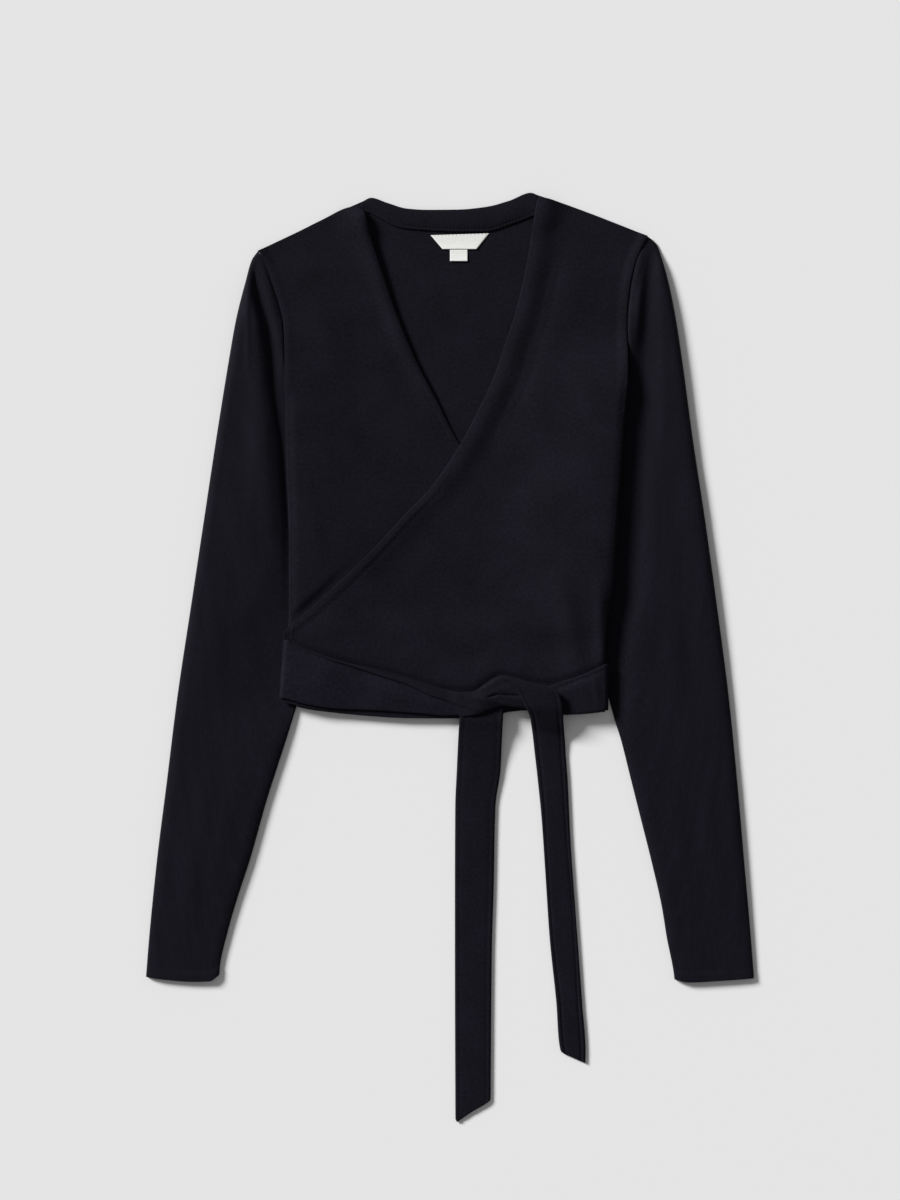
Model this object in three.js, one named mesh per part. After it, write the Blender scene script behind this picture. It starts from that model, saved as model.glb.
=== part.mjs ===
// A women's wrap top in fine navy jersey, laid flat with its front up and its ties knotted.
// Millimetres. +X is the viewer's right, +Y is toward the neck, and z = 0 is the surface it lies on.

import * as THREE from "three";

// Cloth thicknesses and the air between two layers or at a seam.
const CLOTH = 1.0;
const TIE = 2.0;
const GAP = 0.3;

// Heights of the stack: a panel on the back, what a tucked sleeve adds, and what the tie behind adds.
const ON_BACK = CLOTH + GAP;
const SLEEVE_FLAT = 2.4;
const SLEEVE_LIFT = SLEEVE_FLAT + GAP;
const TIE_LIFT = TIE + GAP;
const PANEL_LIFT = CLOTH + 0.5;

// How far each lift takes to fade out, across the body.
const BACK_FADE = 30;
const FRONT_FADE = 60;
const UNDER_FRONT_FADE = 40;
const UNDER_FRONT_CLEAR = 6;
const TIE_LEVEL = { start: 20, end: 48 };
const ARMHOLE_LEVEL = { start: 235, end: 305 };
const UNDERARM_LEVEL = { start: 115, end: 145 };

const NAVY = new THREE.MeshStandardMaterial({ color: 0x171a23, roughness: 0.9, metalness: 0 });
const WHITE = new THREE.MeshStandardMaterial({ color: 0xe9e8e4, roughness: 0.8, metalness: 0 });

// Levels of the body's rows, from the waist up. The tie behind lifts the cloth between 48 and 20.
const LEVELS = [
  -24, 0, 20, 27, 34, 41, 48, 72, 96, 118, 130, 139, 152, 172, 188, 205, 215, 240, 262, 278, 293, 309, 330, 351,
];
const RETURN_TOP = 215;
const TOP_ROWS = 3;
const HEM_ROWS = 2;

// Edges of the body: the armhole seam down to the underarm fold, then the side fold.
const BODY_LEFT = table("y x", [
  [358, -168.3], [351, -163.9], [330, -156.1], [309, -149.2], [293, -145.8], [262, -144.8],
  [191, -144.8], [103, -141.9], [40, -141.8], [10, -144.0], [-24, -146.5], [-55, -149.0],
]);
const BODY_RIGHT = table("y x", [
  [371, 173.2], [361, 168.1], [351, 163.7], [330, 158.3], [309, 155.6], [293, 154.8], [262, 155.8],
  [184, 152.2], [137, 148.7], [64, 143.4], [28, 138.0], [-24, 136.5], [-55, 136.5],
]);

// The seam that lies hidden: armhole to the underarm, then the side seam beside the sleeve's fold.
const SEAM_LEFT = table("y x", [
  [358, -168.3], [351, -163.9], [330, -156.1], [309, -149.2], [293, -145.8], [262, -144.8],
  [240, -142.5], [205, -133.0], [172, -114.0], [152, -95.0], [139, -79.0], [130, -80.0],
  [51, -104.7], [-43, -134.6], [-55, -138.0],
]);
const SEAM_RIGHT = table("y x", [
  [371, 173.2], [361, 168.1], [351, 163.7], [330, 158.3], [309, 155.6], [293, 154.8], [262, 155.8],
  [240, 154.5], [205, 147.0], [172, 131.0], [152, 115.0], [139, 99.0], [130, 99.0],
  [51, 118.8], [0, 128.0], [-55, 129.0],
]);

// Crossing edges of the fronts. The under front's runs on below the over front to the right side.
const UNDER_EDGE = table("y x", [
  [397, -80.4], [392, -75.2], [375, -70.8], [338, -59.0], [302, -46.6], [260, -29.0],
  [226, -11.4], [190, 7.0], [150, 35.0], [100, 84.0], [60, 122.0], [40, 131.0], [-55, 131.5],
]);
const OVER_EDGE = table("y x", [
  [405, 77.2], [398, 75.7], [382, 73.0], [353, 68.6], [328, 63.4], [302, 57.2], [277, 48.4],
  [252, 40.5], [221, 26.4], [189, 9.7], [149, -17.6], [126, -39.6], [98, -65.1], [71, -92.4],
  [41, -125.0], [27, -139.6], [20, -141.3], [10, -142.0], [-24, -144.5], [-55, -147.0],
]);

// Shoulders and the back neck, from the left shoulder point to the right one.
const SHOULDER_LEFT = table("x y", [
  [-168.3, 358.0], [-155.8, 364.0], [-133.8, 374.4], [-112.6, 385.0], [-89.8, 395.6], [-80.4, 397.3],
]);
const SHOULDER_RIGHT = table("x y", [
  [77.2, 405.2], [85.4, 403.8], [95.0, 400.8], [124.1, 390.3], [151.4, 379.7], [173.2, 371.0],
]);
const BACK_TOP = table("x y", [
  [-168.3, 358.0], [-155.8, 364.0], [-133.8, 374.4], [-112.6, 385.0], [-89.8, 395.6],
  [-69.5, 404.4], [-55.4, 400.0], [-37.8, 394.9], [-20.2, 393.8], [6.2, 394.0], [31.7, 396.4],
  [51.9, 401.7], [71.3, 408.8], [95.0, 400.8], [124.1, 390.3], [151.4, 379.7], [173.2, 371.0],
]);
const BAND_SEAM = table("x y", [
  [-72.6, 393.0], [-64.2, 388.5], [-44.0, 378.0], [-17.6, 375.3], [6.2, 374.4], [30.8, 374.4],
  [52.8, 380.6], [71.6, 387.6],
]);

const NECK_ENDS = [-69.0, 70.6];

// The hem, from the left side to the right one.
const HEM = table("x y", [
  [-149.0, -38.0], [-135.0, -41.5], [-116.0, -46.0], [-96.8, -48.5], [-66.0, -51.5], [-37.0, -53.2],
  [7.0, -53.5], [47.0, -48.5], [66.0, -46.5], [99.0, -50.3], [131.6, -48.0], [136.5, -46.5],
]);

// Sleeves, each from the shoulder and the underarm down to the cuff.
const SLEEVES = {
  left: {
    side: -1,
    seam: SEAM_LEFT,
    body: BODY_LEFT,
    outer: table("y x", [
      [357.5, -168.9], [350, -174.2], [332, -179.5], [297, -188.3], [262, -194.5], [191, -205.9],
      [121, -216.5], [51, -227.0], [-37, -240.2], [-108, -249.0], [-178, -257.8], [-249, -264.9],
      [-280.7, -267.4],
    ]),
    inner: table("y x", [
      [138.4, -79.4], [130, -80.4], [51, -105.1], [-43, -135.0], [-73, -144.3], [-125, -161.0],
      [-178, -176.0], [-213, -187.4], [-242, -195.7], [-272, -202.4], [-279, -202.9],
    ]),
    cuff: table("x y", [[-267.4, -280.7], [-253.0, -283.0], [-224.4, -285.0], [-211.2, -284.6], [-202.9, -279.0]]),
  },
  right: {
    side: 1,
    seam: SEAM_RIGHT,
    body: BODY_RIGHT,
    outer: table("y x", [
      [370.5, 173.9], [364, 181.3], [353, 185.7], [332, 191.8], [297, 198.9], [262, 204.2],
      [191, 213.8], [121, 224.4], [51, 234.1], [-37, 245.5], [-108, 252.6], [-178, 258.7],
      [-249, 264.9], [-282, 267.4],
    ]),
    inner: table("y x", [
      [138.4, 99.4], [130, 99.4], [51, 119.2], [-51, 143.8], [-73, 150.5], [-108, 159.3],
      [-143, 168.1], [-178, 176.9], [-221, 186.6], [-246, 190.6], [-277, 196.7], [-283, 197.4],
    ]),
    cuff: table("x y", [[197.4, -283.0], [209.4, -285.6], [238.0, -284.2], [267.4, -282.0]]),
  },
};
const SLEEVE_RINGS = 25;
const SLEEVE_PUFF = 2.4;
const SLEEVE_CLEAR = 10;

// Tie stretches at the front, by their top and bottom edges, from the side fold to the knot.
const TIE_LEFT = table("x top bottom", [
  [-144, 20.0, -36.0], [-128, 8.0, -40.5], [-99, -2.0, -45.0], [-63, -11.5, -46.5],
  [-28, -21.0, -49.0], [-5, -28.5, -51.0], [18, -31.5, -50.5],
]);
const TIE_LEFT_FOLD = table("x top bottom", [
  [-99, -2.4, -8.4], [-85, -5.0, -12.3], [-59, -12.8, -20.0], [-28, -21.3, -29.6],
  [-9, -27.4, -36.6], [10, -30.8, -43.0],
]);
const TIE_RIGHT = table("x top bottom", [
  [84, -26.0, -49.0], [99, -20.5, -50.0], [107, -18.0, -49.6], [122, -12.4, -48.4], [136, -5.5, -46.3],
]);
const TIE_BEHIND = table("share top bottom", [[0, 19.0, -35.0], [0.5, 8.0, -42.0], [1, -5.5, -45.0]]);
const TIE_TURN = 1.6;
const TIE_RETURN = 5;
const TIE_STEP = 12;

// Knot and tails: the left and right edge of each row, the height of its underside and its bulge.
const KNOT_STRAND = table("ax ay bx by z crown", [
  [10, -37, 14, -52, 10.8, 0.5], [22, -29, 27, -49, 10.8, 2.2], [36, -19, 41, -44, 10.8, 3.0],
  [53, -17, 55, -42, 10.8, 3.0], [68, -22, 68, -44, 10.8, 2.0], [80, -27, 80, -46, 10.8, 0.5],
]);
const TAIL_LEFT = table("ax ay bx by z crown", [
  [9.0, -44, 47.0, -38, 8.5, 0], [8.4, -53, 46.6, -53, 8.5, 0], [7.6, -64, 46.0, -64, 5.5, 0.6],
  [6.8, -80, 45.3, -80, 1.8, 0.9], [6.0, -98, 44.5, -98, 0, 0.9], [4.6, -131, 40.0, -131, 0, 0.9],
  [4.3, -200, 38.5, -200, 0, 0.6], [4.3, -260, 36.8, -260, 0, 0.6], [4.4, -320, 36.2, -320, 0, 0.6],
  [4.6, -372, 35.9, -366, 0, 0.5], [4.8, -405.5, 35.7, -388.5, 0, 0.2], [6.2, -408.8, 20.0, -399, 0, 0],
]);
const TAIL_RIGHT = table("ax ay bx by z crown", [
  [44.6, -17, 81.8, -23.3, 14.6, 0.6], [56.0, -25, 95.9, -32, 15.8, 1.0], [65.0, -41, 98.6, -43, 15.0, 1.0],
  [70.0, -52, 99.7, -58, 11.5, 0.9], [72.4, -66, 101.0, -72, 6.0, 0.9], [74.5, -84, 102.0, -88, 2.0, 0.9],
  [77.0, -106, 103.5, -108, 0, 0.9], [80.6, -142, 105.9, -159, 0, 0.7], [84.0, -192, 110.0, -218, 0, 0.6],
  [87.6, -246, 113.5, -265, 0, 0.6], [93.3, -301, 116.5, -307, 0, 0.6], [97.4, -346, 119.3, -349, 0, 0.3],
  [100.0, -348.5, 119.0, -357, 0, 0],
]);

// A bare label and its small tag under the neckband.
const LABEL = table("ax ay bx by", [[-17.1, 371.4, 34.3, 373.0], [-6.6, 359.2, 23.3, 359.2]]);
const SIZE_TAG = table("ax ay bx by", [[0, 358.8, 15.4, 358.8], [0, 348.6, 15.4, 348.6]]);

// Rows of a table as objects with the named columns.
function table(columns, rows) {
  const names = columns.split(" ");
  return rows.map((row) => Object.fromEntries(names.map((name, column) => [name, row[column]])));
}

// The value of one column of a table at a place along another, on straight lines between rows.
function lookup(rows, along, at, wanted) {
  const rising = rows[0][along] < rows[rows.length - 1][along] ? rows : [...rows].reverse();
  if (at <= rising[0][along]) return rising[0][wanted];
  for (let row = 1; row < rising.length; row += 1) {
    const [before, after] = [rising[row - 1], rising[row]];
    if (at <= after[along]) {
      const share = (at - before[along]) / (after[along] - before[along]);
      return THREE.MathUtils.lerp(before[wanted], after[wanted], share);
    }
  }
  return rising[rising.length - 1][wanted];
}

const lerp = THREE.MathUtils.lerp;
const smoothstep = THREE.MathUtils.smoothstep;
const edgeX = (edge, y) => lookup(edge, "y", y, "x");
const edgeY = (edge, x) => lookup(edge, "x", x, "y");
const steps = (count) => Array.from({ length: count + 1 }, (_, step) => step / count);

// A closed solid gathered from triangles. Equal points are shared, and flat triangles are left out.
class Solid {
  constructor(name, material) {
    this.name = name;
    this.material = material;
    this.points = [];
    this.known = new Map();
    this.index = [];
  }

  vertex(point) {
    const key = point.toArray().map((value) => value.toFixed(3)).join(" ");
    if (!this.known.has(key)) {
      this.known.set(key, this.points.length);
      this.points.push(point);
    }
    return this.known.get(key);
  }

  quad(a, b, c, d) {
    const [first, second, third, fourth] = [a, b, c, d].map((point) => this.vertex(point));
    for (const corners of [[first, second, third], [first, third, fourth]]) {
      if (new Set(corners).size === 3) this.index.push(...corners);
    }
  }

  // A skin through closed loops that have the same number of points.
  skin(loops) {
    for (let row = 1; row < loops.length; row += 1) {
      const [near, far] = [loops[row - 1], loops[row]];
      near.forEach((point, corner) => {
        const next = (corner + 1) % near.length;
        this.quad(point, near[next], far[next], far[corner]);
      });
    }
  }

  mesh() {
    const corner = (slot) => this.points[this.index[slot]];
    let volume = 0;
    for (let slot = 0; slot < this.index.length; slot += 3) {
      volume += corner(slot).dot(new THREE.Vector3().crossVectors(corner(slot + 1), corner(slot + 2)));
    }
    const index = volume < 0 ? this.index.toReversed() : this.index;
    const geometry = new THREE.BufferGeometry().setFromPoints(this.points).setIndex(index);
    geometry.computeVertexNormals();
    const mesh = new THREE.Mesh(geometry, this.material);
    mesh.name = this.name;
    return mesh;
  }
}

// A cloth wall from rows of paired points, one on each face, closed round its four edges.
function wall(name, rows, material = NAVY) {
  const solid = new Solid(name, material);
  solid.skin(rows.map((row) => [...row.face, ...[...row.lining].reverse()]));
  const closeEnd = ({ face, lining }, turned) => {
    for (let step = 1; step < face.length; step += 1) {
      const corners = [face[step], face[step - 1], lining[step - 1], lining[step]];
      solid.quad(...(turned ? corners.reverse() : corners));
    }
  };
  closeEnd(rows[0], false);
  closeEnd(rows[rows.length - 1], true);
  return solid.mesh();
}

// A cloth tube from paired rings, closed by a flat edge at each end.
function tube(name, rings, material = NAVY) {
  const solid = new Solid(name, material);
  solid.skin(rings.map((ring) => ring.face));
  solid.skin(rings.map((ring) => [...ring.lining].reverse()));
  const closeEnd = ({ face, lining }, turned) => {
    face.forEach((point, corner) => {
      const next = (corner + 1) % face.length;
      const corners = [face[next], point, lining[corner], lining[next]];
      solid.quad(...(turned ? corners.reverse() : corners));
    });
  };
  closeEnd(rings[0], false);
  closeEnd(rings[rings.length - 1], true);
  return solid.mesh();
}

// Heights of the undersides of the layers.
const fade = (distance, reach) => 1 - smoothstep(distance, 0, reach);
const tieLift = (y) => TIE_LIFT * fade(y - TIE_LEVEL.start, TIE_LEVEL.end - TIE_LEVEL.start);
const belowLevel = (y, level) => fade(y - level.start, level.end - level.start);

function sleeveLift(x, y, reach) {
  const fromLeft = x - edgeX(SEAM_LEFT, y);
  const fromRight = edgeX(SEAM_RIGHT, y) - x;
  return SLEEVE_LIFT * Math.max(fade(fromLeft, reach), fade(fromRight, reach));
}

const returnHeight = (y) => SLEEVE_LIFT + tieLift(y);
const tieBehindHeight = (x, y) => sleeveLift(x, y, BACK_FADE);
const backHeight = (x, y) => belowLevel(y, UNDERARM_LEVEL) * sleeveLift(x, y, BACK_FADE) + tieLift(y);
const underFrontHeight = (x, y) =>
  ON_BACK + belowLevel(y, ARMHOLE_LEVEL) * sleeveLift(x, y, FRONT_FADE) + tieLift(y);

function overFrontHeight(x, y) {
  const beyondUnder = x - edgeX(UNDER_EDGE, y) - UNDER_FRONT_CLEAR;
  return underFrontHeight(x, y) + PANEL_LIFT * fade(beyondUnder, UNDER_FRONT_FADE);
}

const onFrontHeight = (x, y) => overFrontHeight(x, y) + CLOTH + GAP;

// A patch of points between four edges, each a function of its share from 0 to 1.
function patch(low, high, left, right) {
  const corner = { low: [low(0), low(1)], high: [high(0), high(1)] };
  return (across, up) => {
    const between = ([first, last], axis) => lerp(first[axis], last[axis], across);
    const mix = (axis) =>
      lerp(low(across)[axis], high(across)[axis], up) +
      lerp(left(up)[axis], right(up)[axis], across) -
      lerp(between(corner.low, axis), between(corner.high, axis), up);
    return [mix(0), mix(1)];
  };
}

// Points of a body panel in rows from the hem to its top edge. Rows between keep to the levels.
function panelRows(left, right, top, shares) {
  const straight = (y) => (share) => [lerp(left(y), right(y), share), y];
  const side = (edge, from, to) => (up) => [edge(lerp(from, to, up)), lerp(from, to, up)];
  const [waist, chest] = [LEVELS[0], LEVELS[LEVELS.length - 1]];
  const hem = (share) => {
    const x = lerp(left(waist), right(waist), share);
    return [x, edgeY(HEM, x)];
  };
  const low = patch(hem, straight(waist), side(left, hem(0)[1], waist), side(right, hem(1)[1], waist));
  const high = patch(straight(chest), top, side(left, chest, top(0)[1]), side(right, chest, top(1)[1]));
  const rows = [];
  for (const up of steps(HEM_ROWS).slice(0, -1)) rows.push(shares.map((share) => low(share, up)));
  for (const y of LEVELS) rows.push(shares.map((share) => straight(y)(share)));
  for (const up of steps(TOP_ROWS).slice(1)) rows.push(shares.map((share) => high(share, up)));
  return rows;
}

// A top edge that follows a table of x and y between two places.
const topEdge = (edge, from, to) => (share) => {
  const x = lerp(from, to, share);
  return [x, edgeY(edge, x)];
};

// Columns of the back: one at each point of its top edge, and closer ones beside the side seams.
const BACK_ENDS = [BACK_TOP[0].x + GAP, BACK_TOP[BACK_TOP.length - 1].x - GAP];
const BESIDE_SEAM = [0.035, 0.07, 0.11];
const BACK_SHARES = [
  ...BACK_TOP.map(({ x }) => THREE.MathUtils.clamp(THREE.MathUtils.inverseLerp(...BACK_ENDS, x), 0, 1)),
  ...BESIDE_SEAM,
  ...BESIDE_SEAM.map((share) => 1 - share),
].sort((a, b) => a - b);
const backLeft = (y) => edgeX(SEAM_LEFT, y) + GAP;
const backRight = (y) => edgeX(SEAM_RIGHT, y) - GAP;

function back() {
  const rows = panelRows(backLeft, backRight, topEdge(BACK_TOP, ...BACK_ENDS), BACK_SHARES);
  return wall("back", rows.map((row) => layer(row, backHeight)));
}

// Both faces of a row of points, at a height that depends on the place.
function layer(row, height, thickness = CLOTH) {
  return {
    face: row.map(([x, y]) => new THREE.Vector3(x, y, height(x, y) + thickness)),
    lining: row.map(([x, y]) => new THREE.Vector3(x, y, height(x, y))),
  };
}

const TURN_ANGLES = [Math.PI * 0.25, Math.PI * 0.5, Math.PI * 0.75];
const RETURN_COLUMNS = 4;

// The side fold of a front: the row goes round it and back under itself to the side seam.
function foldUnder(section, side, y, edge, seam) {
  const top = section.face[0].z;
  const bottom = returnHeight(y);
  const radius = (top - bottom) / 2;
  const centre = edge - side * radius;
  const turned = { face: [], lining: [] };
  if (y > RETURN_TOP) {
    for (let point = 0; point < TURN_ANGLES.length + RETURN_COLUMNS; point += 1) {
      turned.face.push(section.lining[0]);
      turned.lining.push(section.lining[0]);
    }
    return turned;
  }
  for (const angle of TURN_ANGLES) {
    for (const [key, reach] of [["face", radius], ["lining", radius - CLOTH]]) {
      const x = centre + side * reach * Math.sin(angle);
      turned[key].push(new THREE.Vector3(x, y, bottom + radius + reach * Math.cos(angle)));
    }
  }
  for (const share of steps(RETURN_COLUMNS - 1)) {
    const x = lerp(centre, seam - side * -GAP, share);
    turned.face.push(new THREE.Vector3(x, y, bottom));
    turned.lining.push(new THREE.Vector3(x, y, bottom + CLOTH));
  }
  return turned;
}

// A front panel: its free edge, its flat columns, and the fold at its side.
function front({ name, side, body, seam, freeEdge, shoulder, height, columns }) {
  const sideEdge = (y) => {
    const edge = edgeX(body, y) - side * GAP;
    if (y > RETURN_TOP) return edge;
    return edge - side * (height(edge, y) + CLOTH - returnHeight(y)) / 2;
  };
  const inner = (y) => edgeX(freeEdge, y);
  const [point, neck] = side < 0 ? [shoulder[0], shoulder[shoulder.length - 1]] : [shoulder[shoulder.length - 1], shoulder[0]];
  const ends = [point.x - side * GAP, neck.x];
  const rows = panelRows(sideEdge, inner, topEdge(shoulder, ...ends), steps(columns));
  const sections = rows.map((row) => {
    const y = row[0][1];
    const section = layer(row, height);
    const turned = foldUnder(section, side, y, edgeX(body, y) - side * GAP, edgeX(seam, y));
    return {
      face: [...turned.face.reverse(), ...section.face],
      lining: [...turned.lining.reverse(), ...section.lining],
    };
  });
  return wall(name, sections);
}

const frontUnder = () =>
  front({
    name: "front_under",
    side: -1,
    body: BODY_LEFT,
    seam: SEAM_LEFT,
    freeEdge: UNDER_EDGE,
    shoulder: SHOULDER_LEFT,
    height: underFrontHeight,
    columns: 14,
  });

const frontOver = () =>
  front({
    name: "front_over",
    side: 1,
    body: BODY_RIGHT,
    seam: SEAM_RIGHT,
    freeEdge: OVER_EDGE,
    shoulder: SHOULDER_RIGHT,
    height: overFrontHeight,
    columns: 15,
  });

// The inside facing along the back neck.
function neckband() {
  const [left, right] = [BAND_SEAM[0], BAND_SEAM[BAND_SEAM.length - 1]];
  const neck = topEdge(BACK_TOP, ...NECK_ENDS);
  const seam = topEdge(BAND_SEAM, left.x, right.x);
  const straight = (from, to) => (up) => [lerp(from[0], to[0], up), lerp(from[1], to[1], up)];
  const band = patch(seam, neck, straight(seam(0), neck(0)), straight(seam(1), neck(1)));
  const rows = steps(2).map((up) => steps(14).map((across) => band(across, up)));
  return wall("back_neckband", rows.map((row) => layer(row, () => ON_BACK)));
}

// A sleeve: a flattened tube on the surface. Its inner part lies under the body.
function sleeve(name, { side, seam, body, outer, inner, cuff }) {
  const [shoulder, underarm] = [outer[0].y, inner[0].y];
  const wrist = { outer: outer[outer.length - 1].y, inner: inner[inner.length - 1].y };
  const armhole = (across) => {
    const y = lerp(shoulder, underarm, across);
    return [edgeX(seam, y) + side * GAP, y];
  };
  const cuffEdge = (across) => {
    const x = lerp(edgeX(outer, wrist.outer), edgeX(inner, wrist.inner), across);
    return [x, edgeY(cuff, x)];
  };
  const along = (edge, from, to) => (down) => [edgeX(edge, lerp(from, to, down)), lerp(from, to, down)];
  const outerEdge = along(outer, shoulder, wrist.outer);
  const innerEdge = along(inner, underarm, wrist.inner);
  const plan = patch(armhole, cuffEdge, outerEdge, innerEdge);

  // The upper wall rises to a soft puff where it is clear of the body and the seams.
  const puff = (across, down) => {
    const [x, y] = plan(across, down);
    const beside = y > HEM[0].y - 12 ? side * (x - edgeX(body, y)) - SLEEVE_CLEAR : SLEEVE_CLEAR;
    const fromEdges = Math.min(across, 1 - across);
    return SLEEVE_PUFF * smoothstep(beside, 0, 16) * smoothstep(fromEdges, 0, 0.25) * smoothstep(down, 0, 0.09);
  };

  // Columns start at the rows of the armhole seam, so that the sleeve and the body share its line.
  const levels = seam.map(({ y }) => y).filter((y) => y < shoulder - 4 && y > underarm + 4);
  const shares = levels.map((y) => (shoulder - y) / (shoulder - underarm));

  const ringAt = (down) => {
    const ring = { face: [], lining: [] };
    const end = (across, angle) => {
      const at = plan(across, down);
      const inside = plan(across === 0 ? 0.02 : 0.98, down);
      const way = new THREE.Vector2(inside[0] - at[0], inside[1] - at[1]).normalize();
      const radius = SLEEVE_FLAT / 2;
      for (const [key, reach] of [["face", radius], ["lining", radius - CLOTH]]) {
        const inset = radius - reach * Math.sin(angle);
        const z = radius + reach * Math.cos(angle);
        ring[key].push(new THREE.Vector3(at[0] + way.x * inset, at[1] + way.y * inset, z));
      }
    };
    const flat = (across, low) => {
      const [x, y] = plan(across, down);
      const top = SLEEVE_FLAT + puff(across, down);
      ring.face.push(new THREE.Vector3(x, y, low ? 0 : top));
      ring.lining.push(new THREE.Vector3(x, y, low ? CLOTH : top - CLOTH));
    };
    for (const share of shares) flat(share, false);
    for (const angle of TURN_ANGLES) end(1, angle);
    for (const share of [...shares].reverse()) flat(share, true);
    for (const angle of [...TURN_ANGLES].reverse()) end(0, angle);
    return ring;
  };
  return tube(name, steps(SLEEVE_RINGS).map(ringAt));
}

// Rows at even places along x, between the rows of a tie's table.
function evenRows(rows) {
  const [first, last] = [rows[0].x, rows[rows.length - 1].x];
  return steps(Math.round((last - first) / TIE_STEP)).map((share) => {
    const x = lerp(first, last, share);
    return { x, top: lookup(rows, "x", x, "top"), bottom: lookup(rows, "x", x, "bottom") };
  });
}

// A stretch of tie that follows the front and goes round the body's side to a short return.
function tieStretch(name, rows, side, body) {
  const across = steps(5);
  const at = (row, share) => [row.x, lerp(row.top, row.bottom, share)];
  const last = side < 0 ? rows[0] : rows[rows.length - 1];
  const flat = evenRows(rows).map((row) => layer(across.map((share) => at(row, share)), onFrontHeight, TIE));
  const turned = [];
  const low = SLEEVE_LIFT;
  const heights = across.map((share) => {
    const [, y] = at(last, share);
    const edge = edgeX(body, y);
    const high = onFrontHeight(edge - side * TIE_TURN, y) + TIE;
    return { y, radius: (high - low) / 2, centre: edge - side * TIE_TURN };
  });
  for (const angle of [0, ...TURN_ANGLES, Math.PI]) {
    const arc = (inset) => heights.map(({ y, radius, centre }) => {
      const reach = radius - inset;
      const x = centre + side * reach * Math.sin(angle);
      return new THREE.Vector3(x, y, low + radius + reach * Math.cos(angle));
    });
    turned.push({ face: arc(0), lining: arc(TIE) });
  }
  turned.push({
    face: heights.map(({ y, centre }) => new THREE.Vector3(centre - side * TIE_RETURN, y, low)),
    lining: heights.map(({ y, centre }) => new THREE.Vector3(centre - side * TIE_RETURN, y, low + TIE)),
  });
  const rest = side < 0 ? flat.slice(1) : flat.slice(0, -1).reverse();
  return wall(name, [...turned.reverse(), ...rest]);
}

// The folded upper strip of the left tie, on top of it.
function tieFold() {
  const rows = evenRows(TIE_LEFT_FOLD).map((row) => {
    const across = steps(2).map((share) => [row.x, lerp(row.top, row.bottom, share)]);
    return layer(across, (x, y) => onFrontHeight(x, y) + TIE + GAP, CLOTH);
  });
  return wall("tie_left_fold", rows);
}

// The stretch behind: on the surface under the back, and up over the sleeves at both sides.
function tieBehind() {
  const tieEnd = (body, side) => (y) => edgeX(body, y) - side * (TIE_TURN + TIE_RETURN + GAP);
  const column = (share, xAt) => {
    const [top, bottom] = ["top", "bottom"].map((edge) => lookup(TIE_BEHIND, "share", share, edge));
    const across = steps(5).map((down) => lerp(top, bottom, down)).map((y) => [xAt(y), y]);
    return layer(across, tieBehindHeight, TIE);
  };
  const between = (share) => (y) => lerp(backLeft(y), backRight(y), share);
  const rows = BACK_SHARES.map((share) => column(share, between(share)));
  return wall("tie_back", [column(0, tieEnd(BODY_LEFT, -1)), ...rows, column(1, tieEnd(BODY_RIGHT, 1))]);
}

// A free strap from a table of its edges, with a soft bulge across it.
function strap(name, rows, thickness = TIE) {
  const across = steps(4);
  const sections = rows.map((row) => {
    const line = across.map((share) => [lerp(row.ax, row.bx, share), lerp(row.ay, row.by, share), share]);
    const height = (share) => row.z + row.crown * (1 - (2 * share - 1) ** 2);
    return {
      face: line.map(([x, y, share]) => new THREE.Vector3(x, y, height(share) + thickness)),
      lining: line.map(([x, y, share]) => new THREE.Vector3(x, y, height(share))),
    };
  });
  return wall(name, sections);
}

function plainPatch(name, corners, material) {
  const rows = corners.map(({ ax, ay, bx, by }) => layer([[ax, ay], [bx, by]], () => ON_BACK));
  return wall(name, rows, material);
}

const top = new THREE.Group();
top.add(back(), neckband(), frontUnder(), frontOver());
top.add(sleeve("sleeve_left", SLEEVES.left), sleeve("sleeve_right", SLEEVES.right));
top.add(tieBehind(), tieStretch("tie_left", TIE_LEFT, -1, BODY_LEFT), tieFold());
top.add(tieStretch("tie_right", TIE_RIGHT, 1, BODY_RIGHT));
top.add(strap("knot_strand", KNOT_STRAND), strap("tail_left", TAIL_LEFT), strap("tail_right", TAIL_RIGHT));
top.add(plainPatch("label", LABEL, WHITE), plainPatch("size_tag", SIZE_TAG, WHITE));

export default top;
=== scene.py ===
# %% [markdown]
# A wrap top in navy jersey, laid flat with its front up and its ties knotted.
# The frame from the CAD step fixes where every panel lies. Each panel is then made again here
# with a fine mesh, so that it can carry soft folds, rolled edges, seams and a knitted finish.
# Sizes are in millimetres in the tables, and every mesh is written in metres.

# %% Load the frame
import math

import bmesh
import bpy
import numpy as np
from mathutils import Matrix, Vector


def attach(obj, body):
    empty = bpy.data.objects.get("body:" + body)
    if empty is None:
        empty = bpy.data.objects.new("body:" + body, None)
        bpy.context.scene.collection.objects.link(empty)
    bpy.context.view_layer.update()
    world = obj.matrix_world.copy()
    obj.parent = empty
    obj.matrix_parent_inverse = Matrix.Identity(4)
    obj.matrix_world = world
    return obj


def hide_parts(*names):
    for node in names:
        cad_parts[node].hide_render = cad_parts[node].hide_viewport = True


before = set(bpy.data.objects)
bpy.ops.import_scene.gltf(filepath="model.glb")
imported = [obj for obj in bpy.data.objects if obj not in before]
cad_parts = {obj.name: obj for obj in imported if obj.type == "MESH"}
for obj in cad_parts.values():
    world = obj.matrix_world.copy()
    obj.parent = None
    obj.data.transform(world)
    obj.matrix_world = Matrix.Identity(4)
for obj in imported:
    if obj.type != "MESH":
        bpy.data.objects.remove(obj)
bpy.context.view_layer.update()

MM = 0.001

# %% [markdown]
# The outlines are short tables, one row for each point where an edge turns. A smooth curve runs
# through them, because cloth edges have no corners. A cubic through each pair of rows, with
# slopes limited so that it never overshoots, does this without adding points.

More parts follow.
